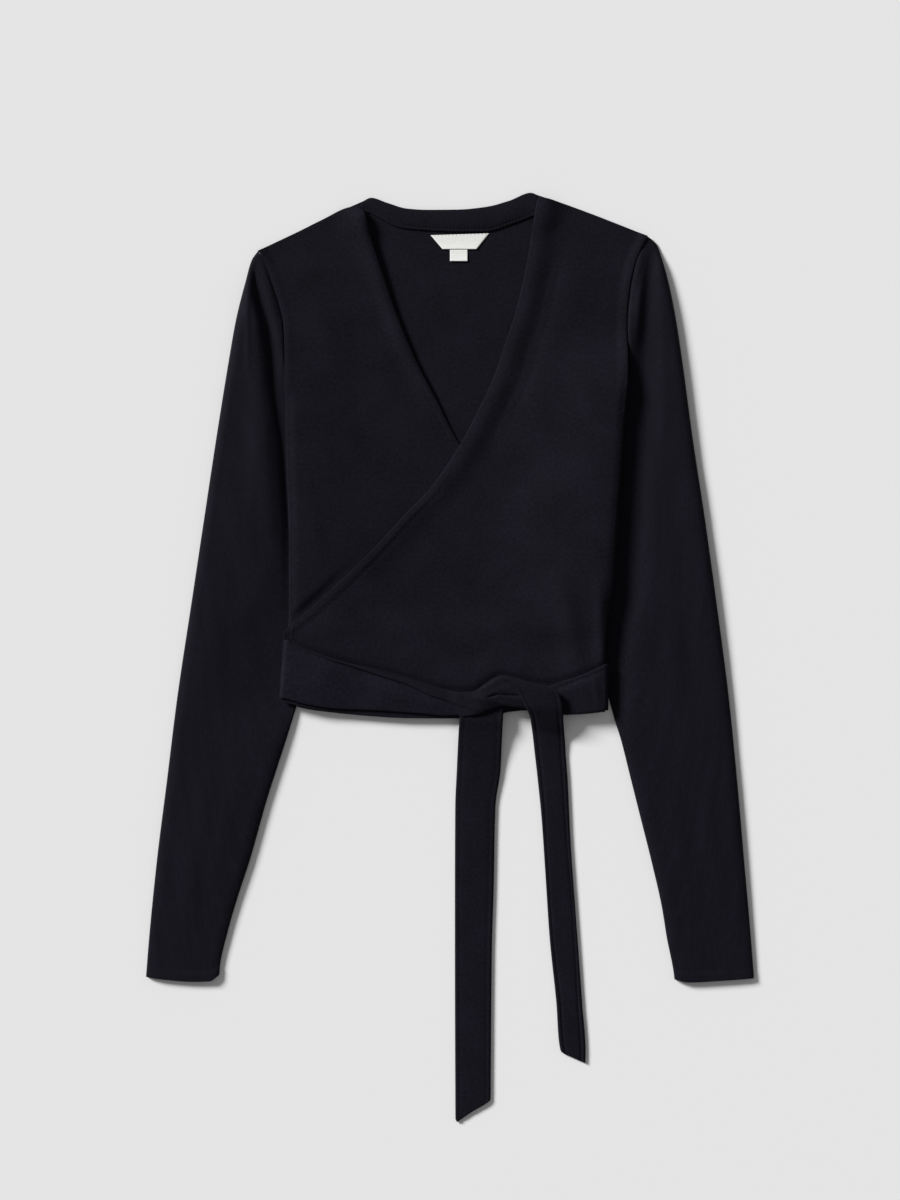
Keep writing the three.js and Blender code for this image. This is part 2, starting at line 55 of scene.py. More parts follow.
# %% Curves through tables
def table(columns, rows):
    """Rows of numbers under named columns."""
    names = columns.split()
    return {name: np.array([row[place] for row in rows], float) for place, name in enumerate(names)}


def smooth(rows, along, wanted):
    """A smooth function of one column of a table, from another column."""
    order = np.argsort(rows[along])
    places = rows[along][order]
    values = rows[wanted][order]
    steps = np.diff(places)
    slopes = np.diff(values) / steps
    tangents = np.zeros_like(values)
    tangents[0] = slopes[0]
    tangents[-1] = slopes[-1]
    same_way = slopes[1:] * slopes[:-1] > 0
    weight_a = 2 * steps[1:] + steps[:-1]
    weight_b = steps[1:] + 2 * steps[:-1]
    safe_a = np.where(same_way, slopes[:-1], 1)
    safe_b = np.where(same_way, slopes[1:], 1)
    mean = (weight_a + weight_b) / (weight_a / safe_a + weight_b / safe_b)
    tangents[1:-1] = np.where(same_way, mean, 0)

    def curve(at):
        at = np.clip(np.asarray(at, float), places[0], places[-1])
        span = np.clip(np.searchsorted(places, at, side="right") - 1, 0, len(places) - 2)
        width = steps[span]
        share = (at - places[span]) / width
        bend_a = tangents[span] * width
        bend_b = tangents[span + 1] * width
        square = share * share
        cube = square * share
        return (
            (2 * cube - 3 * square + 1) * values[span]
            + (cube - 2 * square + share) * bend_a
            + (3 * square - 2 * cube) * values[span + 1]
            + (cube - square) * bend_b
        )

    return curve


def ease(value, start, end):
    """0 before start, 1 after end, and an even S between."""
    share = np.clip((value - start) / (end - start), 0, 1)
    return share * share * (3 - 2 * share)


def fade(value, start, end):
    """1 before start, 0 after end, and an even S between."""
    return 1 - ease(value, start, end)


print("an even S at a quarter of its way:", float(ease(0.25, 0, 1)))

# %% [markdown]
# These are the sizes of the cloth and its layers, the same as in the frame. A jersey panel is
# 1 mm thick and a tie is two layers. Where a panel passes over a tucked sleeve or over the tie
# behind, it is lifted by that much, and the lift fades out across the body. A panel and its side
# seam share their rows along the armhole, so those rows are written once.

# %% Sizes and outlines
CLOTH = 1.0
TIE = 2.0
GAP = 0.3
ON_BACK = CLOTH + GAP
SLEEVE_FLAT = 2.4
SLEEVE_LIFT = SLEEVE_FLAT + GAP
TIE_LIFT = TIE + GAP
PANEL_LIFT = CLOTH + 0.5
SEAM_GAP = 0.05
BACK_FADE = 30
FRONT_FADE = 60
UNDER_FRONT_FADE = 40
UNDER_FRONT_CLEAR = 6
RETURN_TOP = 215
CHEST = 351
WAIST = -24

ARMHOLE_LEFT = [
    [358, -168.3], [351, -163.9], [330, -156.1], [309, -149.2], [293, -145.8], [262, -144.8],
]
ARMHOLE_RIGHT = [
    [371, 173.2], [361, 168.1], [351, 163.7], [330, 158.3], [309, 155.6], [293, 154.8], [262, 155.8],
]
BODY_LEFT = table("y x", ARMHOLE_LEFT + [
    [191, -144.8], [103, -141.9], [40, -141.8], [10, -144.0], [-24, -146.5], [-55, -149.0],
])
BODY_RIGHT = table("y x", ARMHOLE_RIGHT + [
    [184, 152.2], [137, 148.7], [64, 143.4], [28, 138.0], [-24, 136.5], [-55, 136.5],
])
SEAM_LEFT = table("y x", ARMHOLE_LEFT + [
    [240, -142.5], [205, -133.0], [172, -114.0], [152, -95.0], [139, -79.0], [130, -80.0],
    [51, -104.7], [-43, -134.6], [-55, -138.0],
])
SEAM_RIGHT = table("y x", ARMHOLE_RIGHT + [
    [240, 154.5], [205, 147.0], [172, 131.0], [152, 115.0], [139, 99.0], [130, 99.0],
    [51, 118.8], [0, 128.0], [-55, 129.0],
])
UNDER_EDGE = table("y x", [
    [397, -80.4], [392, -75.2], [375, -70.8], [338, -59.0], [302, -46.6], [260, -29.0],
    [226, -11.4], [190, 7.0], [150, 35.0], [100, 84.0], [60, 122.0], [40, 131.0], [-55, 131.5],
])
OVER_EDGE = table("y x", [
    [405, 77.2], [398, 75.7], [382, 73.0], [353, 68.6], [328, 63.4], [302, 57.2], [277, 48.4],
    [252, 40.5], [221, 26.4], [189, 9.7], [149, -17.6], [126, -39.6], [98, -65.1], [71, -92.4],
    [41, -125.0], [27, -141.5], [21, -146.5], [14, -146.5], [6, -142.5], [-24, -144.5], [-55, -147.0],
])
SHOULDER_LEFT = [
    [-168.3, 358.0], [-155.8, 364.0], [-133.8, 374.4], [-112.6, 385.0], [-89.8, 395.6], [-80.4, 397.3],
]
SHOULDER_RIGHT = [
    [77.2, 405.2], [85.4, 403.8], [95.0, 400.8], [124.1, 390.3], [151.4, 379.7], [173.2, 371.0],
]
BACK_NECK = [
    [-69.5, 404.4], [-55.4, 400.0], [-37.8, 394.9], [-20.2, 393.8], [6.2, 394.0], [31.7, 396.4],
    [51.9, 401.7], [71.3, 408.8],
]
BAND_TOP = [[-76.0, 401.6], *BACK_NECK, [76.0, 407.2]]
BAND_LOW = [
    [-82.0, 392.5], [-72.6, 391.5], [-64.2, 387.5], [-44.0, 378.0], [-17.6, 375.3], [6.2, 374.4],
    [30.8, 374.4], [52.8, 380.6], [71.6, 387.6], [80.0, 391.0],
]
HEM = [
    [-149.0, -38.0], [-135.0, -41.5], [-116.0, -46.0], [-96.8, -48.5], [-66.0, -51.5], [-37.0, -53.2],
    [7.0, -53.5], [47.0, -48.5], [66.0, -46.5], [99.0, -50.3], [131.6, -48.0], [136.5, -46.5],
]


def line_of(rows):
    """The y of a line at each x."""
    return smooth(table("x y", rows), "x", "y")


body_left = smooth(BODY_LEFT, "y", "x")
body_right = smooth(BODY_RIGHT, "y", "x")
seam_left = smooth(SEAM_LEFT, "y", "x")
seam_right = smooth(SEAM_RIGHT, "y", "x")
under_edge = smooth(UNDER_EDGE, "y", "x")
over_edge = smooth(OVER_EDGE, "y", "x")
hem_line = line_of(HEM)
back_neck = line_of(BACK_NECK)
print("body width at the chest, mm:", float(body_right(200) - body_left(200)))

# %% [markdown]
# Jersey that lies on a table is never quite flat. Broad swells lift the whole stack of panels by
# up to a millimetre, so the underside shows them as well. A fold is a soft ridge along a line,
# worked out from the distance to it. A cloth simulation would fold the cloth too, but not where
# the photograph shows it. Each fold is a row of a table: its ends, its height and its width.

# %% Heights of the layers
ARMHOLE_FOOT = (200, 214)


def join(y):
    """Air beside the side edges: hardly any along the armhole seam, and more below it."""
    return SEAM_GAP + (GAP - SEAM_GAP) * fade(y, *ARMHOLE_FOOT)


def near_line(x, y, start, end):
    """Distance to a line between two points, and the share along it."""
    way = np.array(end, float) - np.array(start, float)
    length = np.hypot(*way)
    along = ((x - start[0]) * way[0] + (y - start[1]) * way[1]) / length**2
    share = np.clip(along, 0, 1)
    away = np.hypot(x - start[0] - share * way[0], y - start[1] - share * way[1])
    return away, share


def folds(rows, x, y):
    """Heights of soft ridges, each a row of x0 y0 x1 y1 height width. Both ends taper."""
    total = np.zeros(np.broadcast(x, y).shape)
    for x0, y0, x1, y1, height, width in zip(*rows.values()):
        away, share = near_line(x, y, (x0, y0), (x1, y1))
        taper = np.sin(math.pi * (0.12 + 0.76 * share))
        total += height * taper * np.exp(-((away / width) ** 2))
    return total


SWELLS = table("x0 y0 x1 y1 height width", [
    [-110, 330, -60, 250, 0.9, 34], [-95, 150, -30, 90, 0.8, 30], [60, 300, 110, 200, 1.0, 36],
    [20, 120, 90, 80, 0.9, 32], [-10, 340, 15, 260, 0.7, 30], [100, 350, 60, 390, 0.5, 24],
    [-60, 210, -20, 180, 0.6, 26],
])
SWELL_FROM_SIDE = (4, 34)
SWELL_BOTTOM = (48, 80)
SWELL_TOP = (365, 395)


def swell(x, y):
    from_side = np.minimum(x - body_left(y), body_right(y) - x)
    inside = folds(SWELLS, x, y) * ease(from_side, *SWELL_FROM_SIDE)
    return inside * ease(y, *SWELL_BOTTOM) * fade(y, *SWELL_TOP)


TIE_BEHIND_TOP = (20, 48)


def tie_lift(y):
    return TIE_LIFT * fade(y, *TIE_BEHIND_TOP)


def sleeve_lift(x, y, reach):
    left = fade(x - seam_left(y), 0, reach)
    right = fade(seam_right(y) - x, 0, reach)
    return SLEEVE_LIFT * np.maximum(left, right)


SEAM_LAP = 0.7
SEAM_RISE = 1.6
SEAM_WIDTH = (1.0, 10)
NECK_POINTS = [(-77, 392), (77, 396)]
NECK_LIFT = 1.9


def seam_lap(y):
    """How far a front's edge laps over the sleeve head, along the armhole seam."""
    return SEAM_LAP * ease(y, 226, 244)


def seam_rise(x, y):
    """The seam allowance below a front's edge lifts it."""
    from_side = np.minimum(x - body_left(y), body_right(y) - x)
    return SEAM_RISE * fade(from_side, *SEAM_WIDTH) * ease(y, 222, 240)


def neck_lift(x, y):
    """What the ends of the neckband add below the fronts."""
    nearest = np.minimum(*[np.hypot(x - a, y - b) for a, b in NECK_POINTS])
    return NECK_LIFT * fade(nearest, 10, 30)


def back_height(x, y):
    return fade(y, 115, 145) * sleeve_lift(x, y, BACK_FADE) + tie_lift(y) + swell(x, y)


def under_front_height(x, y):
    over_sleeve = fade(y, 235, 305) * sleeve_lift(x, y, FRONT_FADE)
    return ON_BACK + over_sleeve + tie_lift(y) + swell(x, y) + neck_lift(x, y) + seam_rise(x, y)


def over_front_height(x, y):
    beyond = x - under_edge(y) - UNDER_FRONT_CLEAR
    return under_front_height(x, y) + PANEL_LIFT * fade(beyond, 0, UNDER_FRONT_FADE)


print("over front above the surface at the waist, mm:", float(over_front_height(0.0, 0.0)))

# %% [markdown]
# The cloth is a fine double jersey with a matt face. Its colour is close to black, with a little
# blue. It varies in a fine grain and in soft patches, which is how the loops catch the light. A
# picture of knitted cloth would do as well from afar, but a pattern worked out on the piece's own
# map stays sharp close up. A fine rib and the grain are in the bump too, and the sheen stands for
# the fibre ends at grazing angles. The label's tape is the same weave in white, with a finer rib.

# %% Materials
def new_material(name, sockets):
    """A material with values on its shader's own sockets, and what is needed to go on with it."""
    material = bpy.data.materials.new(name)
    material.use_nodes = True
    shader = material.node_tree.nodes["Principled BSDF"]
    for socket, value in sockets.items():
        shader.inputs[socket].default_value = value
    return material, material.node_tree.nodes, material.node_tree.links.new, shader


def emboss(nodes, link, height, shader, strength, depth):
    """A bump below the shader, from a texture's value."""
    bump = nodes.new("ShaderNodeBump")
    bump.inputs["Strength"].default_value = strength
    bump.inputs["Distance"].default_value = depth
    link(height, bump.inputs["Height"])
    link(bump.outputs["Normal"], shader.inputs["Normal"])


def jersey(name, colour, sheen=0.015, rib=0.8, mottle=0.65):
    """A knitted cloth. Its pattern follows the piece's own UV map, in metres. The rib is in mm."""
    material, nodes, link, shader = new_material(name, {
        "Roughness": 0.82,
        "Sheen Weight": sheen,
        "Sheen Roughness": 0.5,
        "Sheen Tint": (0.62, 0.66, 0.85, 1),
        "Specular IOR Level": 0.1,
    })
    place = nodes.new("ShaderNodeUVMap")
    place.uv_map = "cut"

    def texture(kind, values):
        made = nodes.new(kind)
        for socket, value in values.items():
            made.inputs[socket].default_value = value
        link(place.outputs["UV"], made.inputs["Vector"])
        return made.outputs["Fac"]

    def blend(factor, first, second):
        made = nodes.new("ShaderNodeMix")
        made.data_type = "FLOAT"
        made.inputs["Factor"].default_value = factor
        link(first, made.inputs["A"])
        link(second, made.inputs["B"])
        return made.outputs["Result"]

    grain = texture("ShaderNodeTexNoise", {"Scale": 380, "Detail": 3, "Roughness": 0.55})
    patches = texture("ShaderNodeTexNoise", {"Scale": 28, "Detail": 2, "Roughness": 0.55})
    waves = 2 * math.pi / (20 * rib * MM)
    ribs = texture("ShaderNodeTexWave", {"Scale": waves, "Distortion": 1.2, "Detail": 1})
    ramp = nodes.new("ShaderNodeValToRGB")
    for stop, position, share in zip(ramp.color_ramp.elements, (0.3, 0.7), (1 - mottle, 1 + mottle)):
        stop.position = position
        stop.color = (*[part * share for part in colour], 1)
    link(blend(0.35, grain, patches), ramp.inputs["Fac"])
    link(ramp.outputs["Color"], shader.inputs["Base Color"])
    emboss(nodes, link, blend(0.8, ribs, grain), shader, 0.35, 0.3 * MM)
    return material


def thread(name, colour):
    """A spun thread, with a fine twist in the bump."""
    sockets = {"Base Color": (*colour, 1), "Roughness": 0.6, "Specular IOR Level": 0.2}
    material, nodes, link, shader = new_material(name, sockets)
    place = nodes.new("ShaderNodeTexCoord")
    twist = nodes.new("ShaderNodeTexNoise")
    twist.inputs["Scale"].default_value = 2500
    link(place.outputs["Object"], twist.inputs["Vector"])
    emboss(nodes, link, twist.outputs["Fac"], shader, 0.4, 0.1 * MM)
    return material


NAVY = (0.0043, 0.0037, 0.0075)
WHITE_TAPE = (0.76, 0.76, 0.74)
WHITE_THREAD = (0.7, 0.7, 0.68)
# Painted highlight: the left stretch of the tie is the same cloth as the rest of the tie, but gets a lighter
# copy of its navy.
TIE_PAINTED_LIGHT = 1.3
THREAD_LIGHTER = 1.15
navy_jersey = jersey("navy_jersey", NAVY)
navy_neckband = jersey("navy_neckband", NAVY, rib=1.1)
navy_tie = jersey("navy_tie", NAVY)
navy_tie_painted_light = jersey("navy_tie_painted_light", [part * TIE_PAINTED_LIGHT for part in NAVY])
white_tape = jersey("white_tape", WHITE_TAPE, sheen=0.1, rib=0.35, mottle=0.05)
navy_thread = thread("navy_thread", [part * THREAD_LIGHTER for part in NAVY])
white_thread = thread("white_thread", WHITE_THREAD)
print("materials:", len(bpy.data.materials))

# %% [markdown]
# A panel is a grid of points with a face and a lining, closed round its edges. Solidify could
# thicken one sheet, but it can't round an edge. Here the columns and rows near an edge are a
# fraction of a millimetre apart, and the face and the lining come together there along a quarter
# circle, so a cut edge or a fold is round and catches the light.

# %% Making a closed cloth wall
def put(name, data):
    """A new object in the scene."""
    made = bpy.data.objects.new(name, data)
    bpy.context.scene.collection.objects.link(made)
    return made


def closed_mesh(name, loops, caps, cut, material):
    """A closed mesh from grids of points. Each loop grid is a row of closed rings."""
    points = np.concatenate([grid.reshape(-1, 3) for grid in loops]) * MM
    faces = []
    start = 0
    for grid in loops:
        rings, count = grid.shape[:2]
        ring = np.arange(rings - 1)[:, None] * count + start
        here = np.arange(count)[None, :]
        after = (here + 1) % count
        quads = np.stack([ring + here, ring + after, ring + count + after, ring + count + here], axis=-1)
        faces.append(quads.reshape(-1, 4))
        start += rings * count
    faces = np.concatenate(faces + [caps])
    mesh = bpy.data.meshes.new(name)
    mesh.from_pydata(points.tolist(), [], faces.tolist())
    layer = mesh.uv_layers.new(name="cut")
    corner = np.empty(len(mesh.loops), np.int32)
    mesh.loops.foreach_get("vertex_index", corner)
    layer.data.foreach_set("uv", (cut[corner] * MM).ravel())
    tidy = bmesh.new()
    tidy.from_mesh(mesh)
    bmesh.ops.remove_doubles(tidy, verts=tidy.verts, dist=1e-6)
    bmesh.ops.recalc_face_normals(tidy, faces=tidy.faces)
    if tidy.calc_volume(signed=True) < 0:
        bmesh.ops.reverse_faces(tidy, faces=tidy.faces)
    tidy.to_mesh(mesh)
    tidy.free()
    mesh.shade_smooth()
    mesh.materials.append(material)
    return put(name, mesh)


def wall(name, face, lining, cut, material):
    """Face and lining are grids of points with the same rows and columns."""
    rows, columns = face.shape[:2]
    rings = np.concatenate([face, lining[:, ::-1]], axis=1)
    marks = np.concatenate([cut, cut[:, ::-1]], axis=1).reshape(-1, 2)
    count = 2 * columns
    step = np.arange(columns - 1)
    first = np.stack([step + 1, step, count - 1 - step, count - 2 - step], axis=-1)
    last = first[:, ::-1] + (rows - 1) * count
    return closed_mesh(name, [rings], np.concatenate([first, last]), marks, material)


def tube(name, face, lining, cut, material):
    """Face and lining are rows of closed rings. The cloth's edge closes both ends."""
    rings, count = face.shape[:2]
    here = np.arange(count)
    after = (here + 1) % count
    inner = rings * count
    inner_here = inner + (count - 1 - here)
    inner_after = inner + (count - 1 - after)
    first = np.stack([after, here, inner_here, inner_after], axis=-1)
    end = (rings - 1) * count
    last = np.stack([here + end, after + end, inner_after + end, inner_here + end], axis=-1)
    marks = np.concatenate([cut.reshape(-1, 2), cut[:, ::-1].reshape(-1, 2)])
    return closed_mesh(name, [face, lining[:, ::-1]], np.concatenate([first, last]), marks, material)


def dress(piece, node):
    """The piece stands for its node of the frame, and moves with it."""
    piece.name = f"{node}_cloth"
    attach(piece, "root")
    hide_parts(node)
    triangles = sum(len(face.vertices) - 2 for face in piece.data.polygons)
    print(piece.name, "triangles", triangles)
    return piece


PANEL_EDGE = (0.0, 0.06, 0.2, 0.5, 1.1)
TAPE_EDGE = (0.0, 0.06, 0.25)
TIE_EDGE = (0.0, 0.1, 0.35, 0.8)


def edge_shares(count, width, edge=PANEL_EDGE):
    """Even shares across a width, and closer ones at both edges for the round of the cloth."""
    near = np.array(edge) / width
    even = np.linspace(near[-1], 1 - near[-1], count)
    return np.concatenate([near[:-1], even, 1 - near[:-1][::-1]])


def edge_distance(x, y):
    """Distances along a grid from its first and last column, and from its first and last row."""
    def travel(axis, flip):
        gx = np.flip(x, axis) if flip else x
        gy = np.flip(y, axis) if flip else y
        step = np.hypot(np.diff(gx, axis=axis), np.diff(gy, axis=axis))
        pad = [(0, 0), (0, 0)]
        pad[axis] = (1, 0)
        total = np.cumsum(np.pad(step, pad), axis=axis)
        return np.flip(total, axis) if flip else total

    return [travel(1, False), travel(1, True), travel(0, False), travel(0, True)]


def round_off(distance, radius):
    """How far the face has risen from the middle of the cloth, at a distance from its edge."""
    share = np.clip(distance / radius, 0, 1)
    return np.sqrt(1 - (1 - share) ** 2)


def rounded_wall(name, x, y, low, thick, material):
    """A wall over a grid of places, with all its edges rounded."""
    rise = round_off(np.minimum.reduce(edge_distance(x, y)), thick / 2)
    middle = low + thick / 2
    face = np.stack([x, y, middle + thick / 2 * rise], axis=-1)
    lining = np.stack([x, y, middle - thick / 2 * rise], axis=-1)
    return wall(name, face, lining, np.stack([x, y], axis=-1), material)


print("rows and columns near a panel's edge, mm from it:", PANEL_EDGE)

# %% [markdown]
# A body panel has level rows from the waist to the chest, and then rows that lean over to its
# shoulder or down to its hem. A patch between four edges gives those: each point takes its share
# of the edges on both sides of it, which is how a pattern cutter grades a shape between lines.

# %% Points of a body panel
def down_edge(edge, start, end):
    """Places along an edge that is given as x at each y, by the share of the way."""
    def place(share):
        y = start + (end - start) * share
        return edge(y), y

    return place


def along_edge(edge, start, end):
    """Places along an edge that is given as y at each x, by the share of the way."""
    def place(share):
        x = start + (end - start) * share
        return x, edge(x)

    return place


def straight(start, end):
    def place(share):
        return start[0] + (end[0] - start[0]) * share, start[1] + (end[1] - start[1]) * share

    return place


def patch(low, high, left, right, across, up):
    """Points between four edges, each a function of its share that gives x and y."""
    u, v = np.meshgrid(across, up)

    def mix(axis):
        low_corners = (1 - u) * low(0.0)[axis] + u * low(1.0)[axis]
        high_corners = (1 - u) * high(0.0)[axis] + u * high(1.0)[axis]
        between_rows = (1 - v) * low(u)[axis] + v * high(u)[axis]
        between_sides = (1 - u) * left(v)[axis] + u * right(v)[axis]
        return between_rows + between_sides - (1 - v) * low_corners - v * high_corners

    return mix(0), mix(1)


HEM_DEPTH = 28
SHOULDER_DEPTH = 50
SHOULDER_RISE = 45


def panel_places(left, right, top, across, spacing):
    """Places of a panel's points, rows from the hem to the top edge."""
    hem = along_edge(hem_line, left(WAIST), right(WAIST))
    waist = straight((left(WAIST), WAIST), (right(WAIST), WAIST))
    chest = straight((left(CHEST), CHEST), (right(CHEST), CHEST))
    low_rows = edge_shares(max(4, int(HEM_DEPTH / spacing)), HEM_DEPTH)
    low_rows = low_rows[low_rows < 1 - 1 / HEM_DEPTH]
    low_sides = [down_edge(left, hem(0.0)[1], WAIST), down_edge(right, hem(1.0)[1], WAIST)]
    below = patch(hem, waist, *low_sides, across, low_rows)
    levels = np.linspace(WAIST, CHEST, int((CHEST - WAIST) / spacing) + 1)
    levels = np.unique(np.concatenate([levels, [RETURN_TOP]]))
    u, y_mid = np.meshgrid(across, levels)
    x_mid = left(y_mid) + (right(y_mid) - left(y_mid)) * u
    high_rows = edge_shares(max(6, int(SHOULDER_DEPTH / spacing)), SHOULDER_RISE)
    high_rows = high_rows[high_rows > 1 / SHOULDER_RISE]
    high_sides = [down_edge(left, CHEST, top(0.0)[1]), down_edge(right, CHEST, top(1.0)[1])]
    above = patch(chest, top, *high_sides, across, high_rows)
    return np.concatenate([below[0], x_mid, above[0]]), np.concatenate([below[1], y_mid, above[1]])


print("level rows of a panel from and to, mm:", WAIST, CHEST)

# %% [markdown]
# The back is cut in one piece. It lies on the surface with its inside up, and shows inside the
# neck opening. Its hem rises over the tie that passes below it.

# %% Back panel
BACK_STEP = 4.0
BACK_COLUMNS = 70
BACK_WIDTH = 300
BACK_TOP_ENDS = (-168.0, 172.9)
left_slope = line_of(SHOULDER_LEFT[:-1] + BACK_NECK[:1])
right_slope = line_of(BACK_NECK[-1:] + SHOULDER_RIGHT[2:])


def back_left(y):
    return seam_left(y) + join(y)


def back_right(y):
    return seam_right(y) - join(y)


def back_top_line(x):
    """The left shoulder, the back neck and the right shoulder, in one line."""
    in_neck = (x > BACK_NECK[0][0]) & (x < BACK_NECK[-1][0])
    return np.where(in_neck, back_neck(x), np.where(x < 0, left_slope(x), right_slope(x)))


back_across = edge_shares(BACK_COLUMNS, BACK_WIDTH)
back_top = along_edge(back_top_line, *BACK_TOP_ENDS)
x, y = panel_places(back_left, back_right, back_top, back_across, BACK_STEP)
back = rounded_wall("back", x, y, back_height(x, y), CLOTH, navy_jersey)
dress(back, "back")

# %% [markdown]
# The neckband is a strip of the same jersey, sewn to the back neck and turned to the inside. Two
# rows of stitches hold its lower edge, so that edge is pressed down and the top edge is rounder.
# A strip swept along a curve would keep one width, so this is a patch between its two edges.

# %% Back neckband
BAND_BULGE = 1.0
STITCH_DIP = {"at": 2.6, "width": 0.8, "depth": 0.55}
band_low = along_edge(line_of(BAND_LOW), BAND_LOW[0][0], BAND_LOW[-1][0])
band_high = along_edge(line_of(BAND_TOP), BAND_TOP[0][0], BAND_TOP[-1][0])
band_ends = [straight(band_low(end), band_high(end)) for end in (0.0, 1.0)]


def ridge(distance, centre, width, height):
    """The height of a soft ridge that runs at a distance from an edge."""
    return height * np.exp(-(((distance - centre) / width) ** 2))


x, y = patch(band_low, band_high, *band_ends, edge_shares(90, 145), edge_shares(14, 20))
from_left, from_right, from_seam, from_fold = edge_distance(x, y)
bulge = BAND_BULGE * np.sin(math.pi * np.clip(from_seam / (from_seam + from_fold), 0, 1)) ** 0.7
bulge -= ridge(from_seam, STITCH_DIP["at"], STITCH_DIP["width"], STITCH_DIP["depth"])
bulge *= 0.35 + 0.65 * ease(np.minimum(from_left, from_right), 6, 30)
neckband = rounded_wall("back_neckband", x, y, back_height(x, y) + ON_BACK, CLOTH + bulge, navy_neckband)
dress(neckband, "back_neckband")

# %% [markdown]
# The label and the small tag below it are bare white tape, sewn in just under the neckband. They
# carry no words here. A fine rib and a slight curl at the lower edge are enough.

# %% Label and size tag
LABEL_CORNERS = [(-17.1, 371.4), (34.3, 373.0), (-6.6, 359.2), (23.3, 359.2)]
TAG_CORNERS = [(0.0, 358.8), (15.4, 358.8), (0.0, 348.6), (15.4, 348.6)]
TAPE = 0.5
CURL_WIDTH = 9


def tape(name, corners, curl):
    top_left, top_right, low_left, low_right = corners
    across = edge_shares(24, top_right[0] - top_left[0], edge=TAPE_EDGE)
    up = edge_shares(12, 12, edge=TAPE_EDGE)
    x, y = patch(
        straight(low_left, low_right), straight(top_left, top_right),
        straight(low_left, top_left), straight(low_right, top_right), across, up,
    )
    from_low = edge_distance(x, y)[2]
    lift = curl * (1 - np.clip(from_low / CURL_WIDTH, 0, 1)) ** 2
    piece = rounded_wall(name, x, y, back_height(x, y) + ON_BACK + lift, TAPE, white_tape)
    return dress(piece, name)


label = tape("label", LABEL_CORNERS, 0.5)
size_tag = tape("size_tag", TAG_CORNERS, 0.7)

# %% [markdown]
# Each front runs from its free edge across to the side, turns there in a soft fold, and comes
# back below itself to the side seam beside the sleeve. The free edge is a turned hem: two layers
# with a line of stitches, so it stands a little proud and dips at the stitches. Along the neck
# the cloth also rolls up softly, because the jersey is stretched there, and above the waist the
# over front's right side stands up in a roll that throws the deep shadow beside the sleeve.
# Sculpting by hand could give these forms, but ridges worked out from the distance to an edge
# follow it exactly and can be changed by one number.

# %% Folds and edges of the fronts
UNDER_FOLDS = table("x0 y0 x1 y1 height width", [
    [-120, 320, -95, 240, 0.9, 14], [-104, 215, -66, 160, 0.8, 12], [-60, 330, -38, 270, 0.6, 9],
    [-128, 150, -112, 80, 0.6, 9],
])
OVER_FOLDS = table("x0 y0 x1 y1 height width", [
    [98, 70, 112, -8, 2.0, 9], [131, 66, 133, -10, 1.8, 5], [40, 60, 80, 30, 0.9, 12],
    [-76, 62, -20, 28, 0.8, 10], [112, 300, 122, 220, 0.9, 14], [70, 240, 92, 150, 0.9, 14],
    [16, 150, 52, 88, 0.9, 14], [0, 20, 60, -5, 0.8, 9], [-30, 98, 10, 70, 0.6, 9],
])
UNDER_ROLLS = table("centre width height starts full fades gone", [
    [4.5, 7, 2.5, 195, 250, 386, 398], [4.5, 14, 2.6, 300, 365, 386, 398],
])
OVER_ROLLS = table("centre width height starts full fades gone", [
    [25, 7, -0.7, 150, 230, 330, 370], [42, 16, 0.9, 140, 240, 330, 370],
])
OVER_EDGE_ROLL = {"centre": 8, "width": 10, "height": 2.3}
HEM_WIDTH = 7.5
UNDER_HEM = {"width": 5.5, "height": 0.4}
UNDER_HEM_ENDS = (230, 270)
OVER_HEM_STARTS = (12, 28)
OVER_HEM_ENDS = (120, 190)
EDGE_ROLL_STARTS = (50, 90)
EDGE_ROLL_GROWS = (60, 200)
UNDER_SIDE = {
    "height": 2.4, "rises": (-2, 10), "sinks": (14, 75), "starts": (22, 45), "lower_from": (190, 260),
    "ends": (335, 357),
}
OVER_SIDE = {
    "height": 9.0, "sinks": (8, 125), "starts": (0, 60), "lower_from": (225, 290), "ends": (335, 366),
}
OVER_SIDE_EDGE = {"drop": 1.8, "width": (0, 8), "ends": (235, 275)}
BELT_ROLL = {"height": 1.7, "rises": (0, 4.5), "sinks": (7, 34)}
belt_line = line_of([
    [-150, 19.0], [-144, 18.0], [-128, 8.0], [-99, -2.0], [-63, -11.5], [-28, -21.0], [-5, -28.0],
    [18, -30.0], [31, -22.6], [44, -15.6], [60, -18.2], [80, -23.5], [99, -20.5], [107, -18.0],
    [122, -12.4], [136, -5.5], [140, -3.0],
])


def square_to(edge, x, y):
    """Distance from an edge, measured square to it."""
    slope = (edge(y + 2) - edge(y - 2)) / 4
    return np.abs(x - edge(y)) / np.sqrt(1 + slope * slope)


def rolls(rows, from_edge, y):
    """Ridges along an edge. Each starts and ends gently at its own heights on the garment."""
    total = 0.0
    for centre, width, height, starts, full, fades, gone in zip(*rows.values()):
        roll = ridge(from_edge, centre, width, height) * ease(y, starts, full)
        total = total + roll * fade(y, fades, gone)
    return total


def hem_profile(distance, width=HEM_WIDTH, height=0.8):
    """A turned hem: raised, with a dip where the stitches hold it down."""
    return height * fade(distance, width - 1.5, width + 2.0) - ridge(distance, width, 1.0, 0.5)


def under_detail(x, y):
    """Folds, roll and hem of the under front, where the over front leaves it free."""
    from_edge = square_to(under_edge, x, y)
    from_side = x - body_left(y)
    hem = hem_profile(from_edge, **UNDER_HEM) * fade(y, *UNDER_HEM_ENDS)
    side = UNDER_SIDE["height"] * ease(from_side, *UNDER_SIDE["rises"]) * fade(from_side, *UNDER_SIDE["sinks"])
    tall = (1 - 0.3 * ease(y, *UNDER_SIDE["lower_from"])) * fade(y, *UNDER_SIDE["ends"])
    side *= tall * ease(y, *UNDER_SIDE["starts"])
    visible = ease(x - over_edge(y), -4, -14)
    return (folds(UNDER_FOLDS, x, y) + rolls(UNDER_ROLLS, from_edge, y) + side + hem) * visible


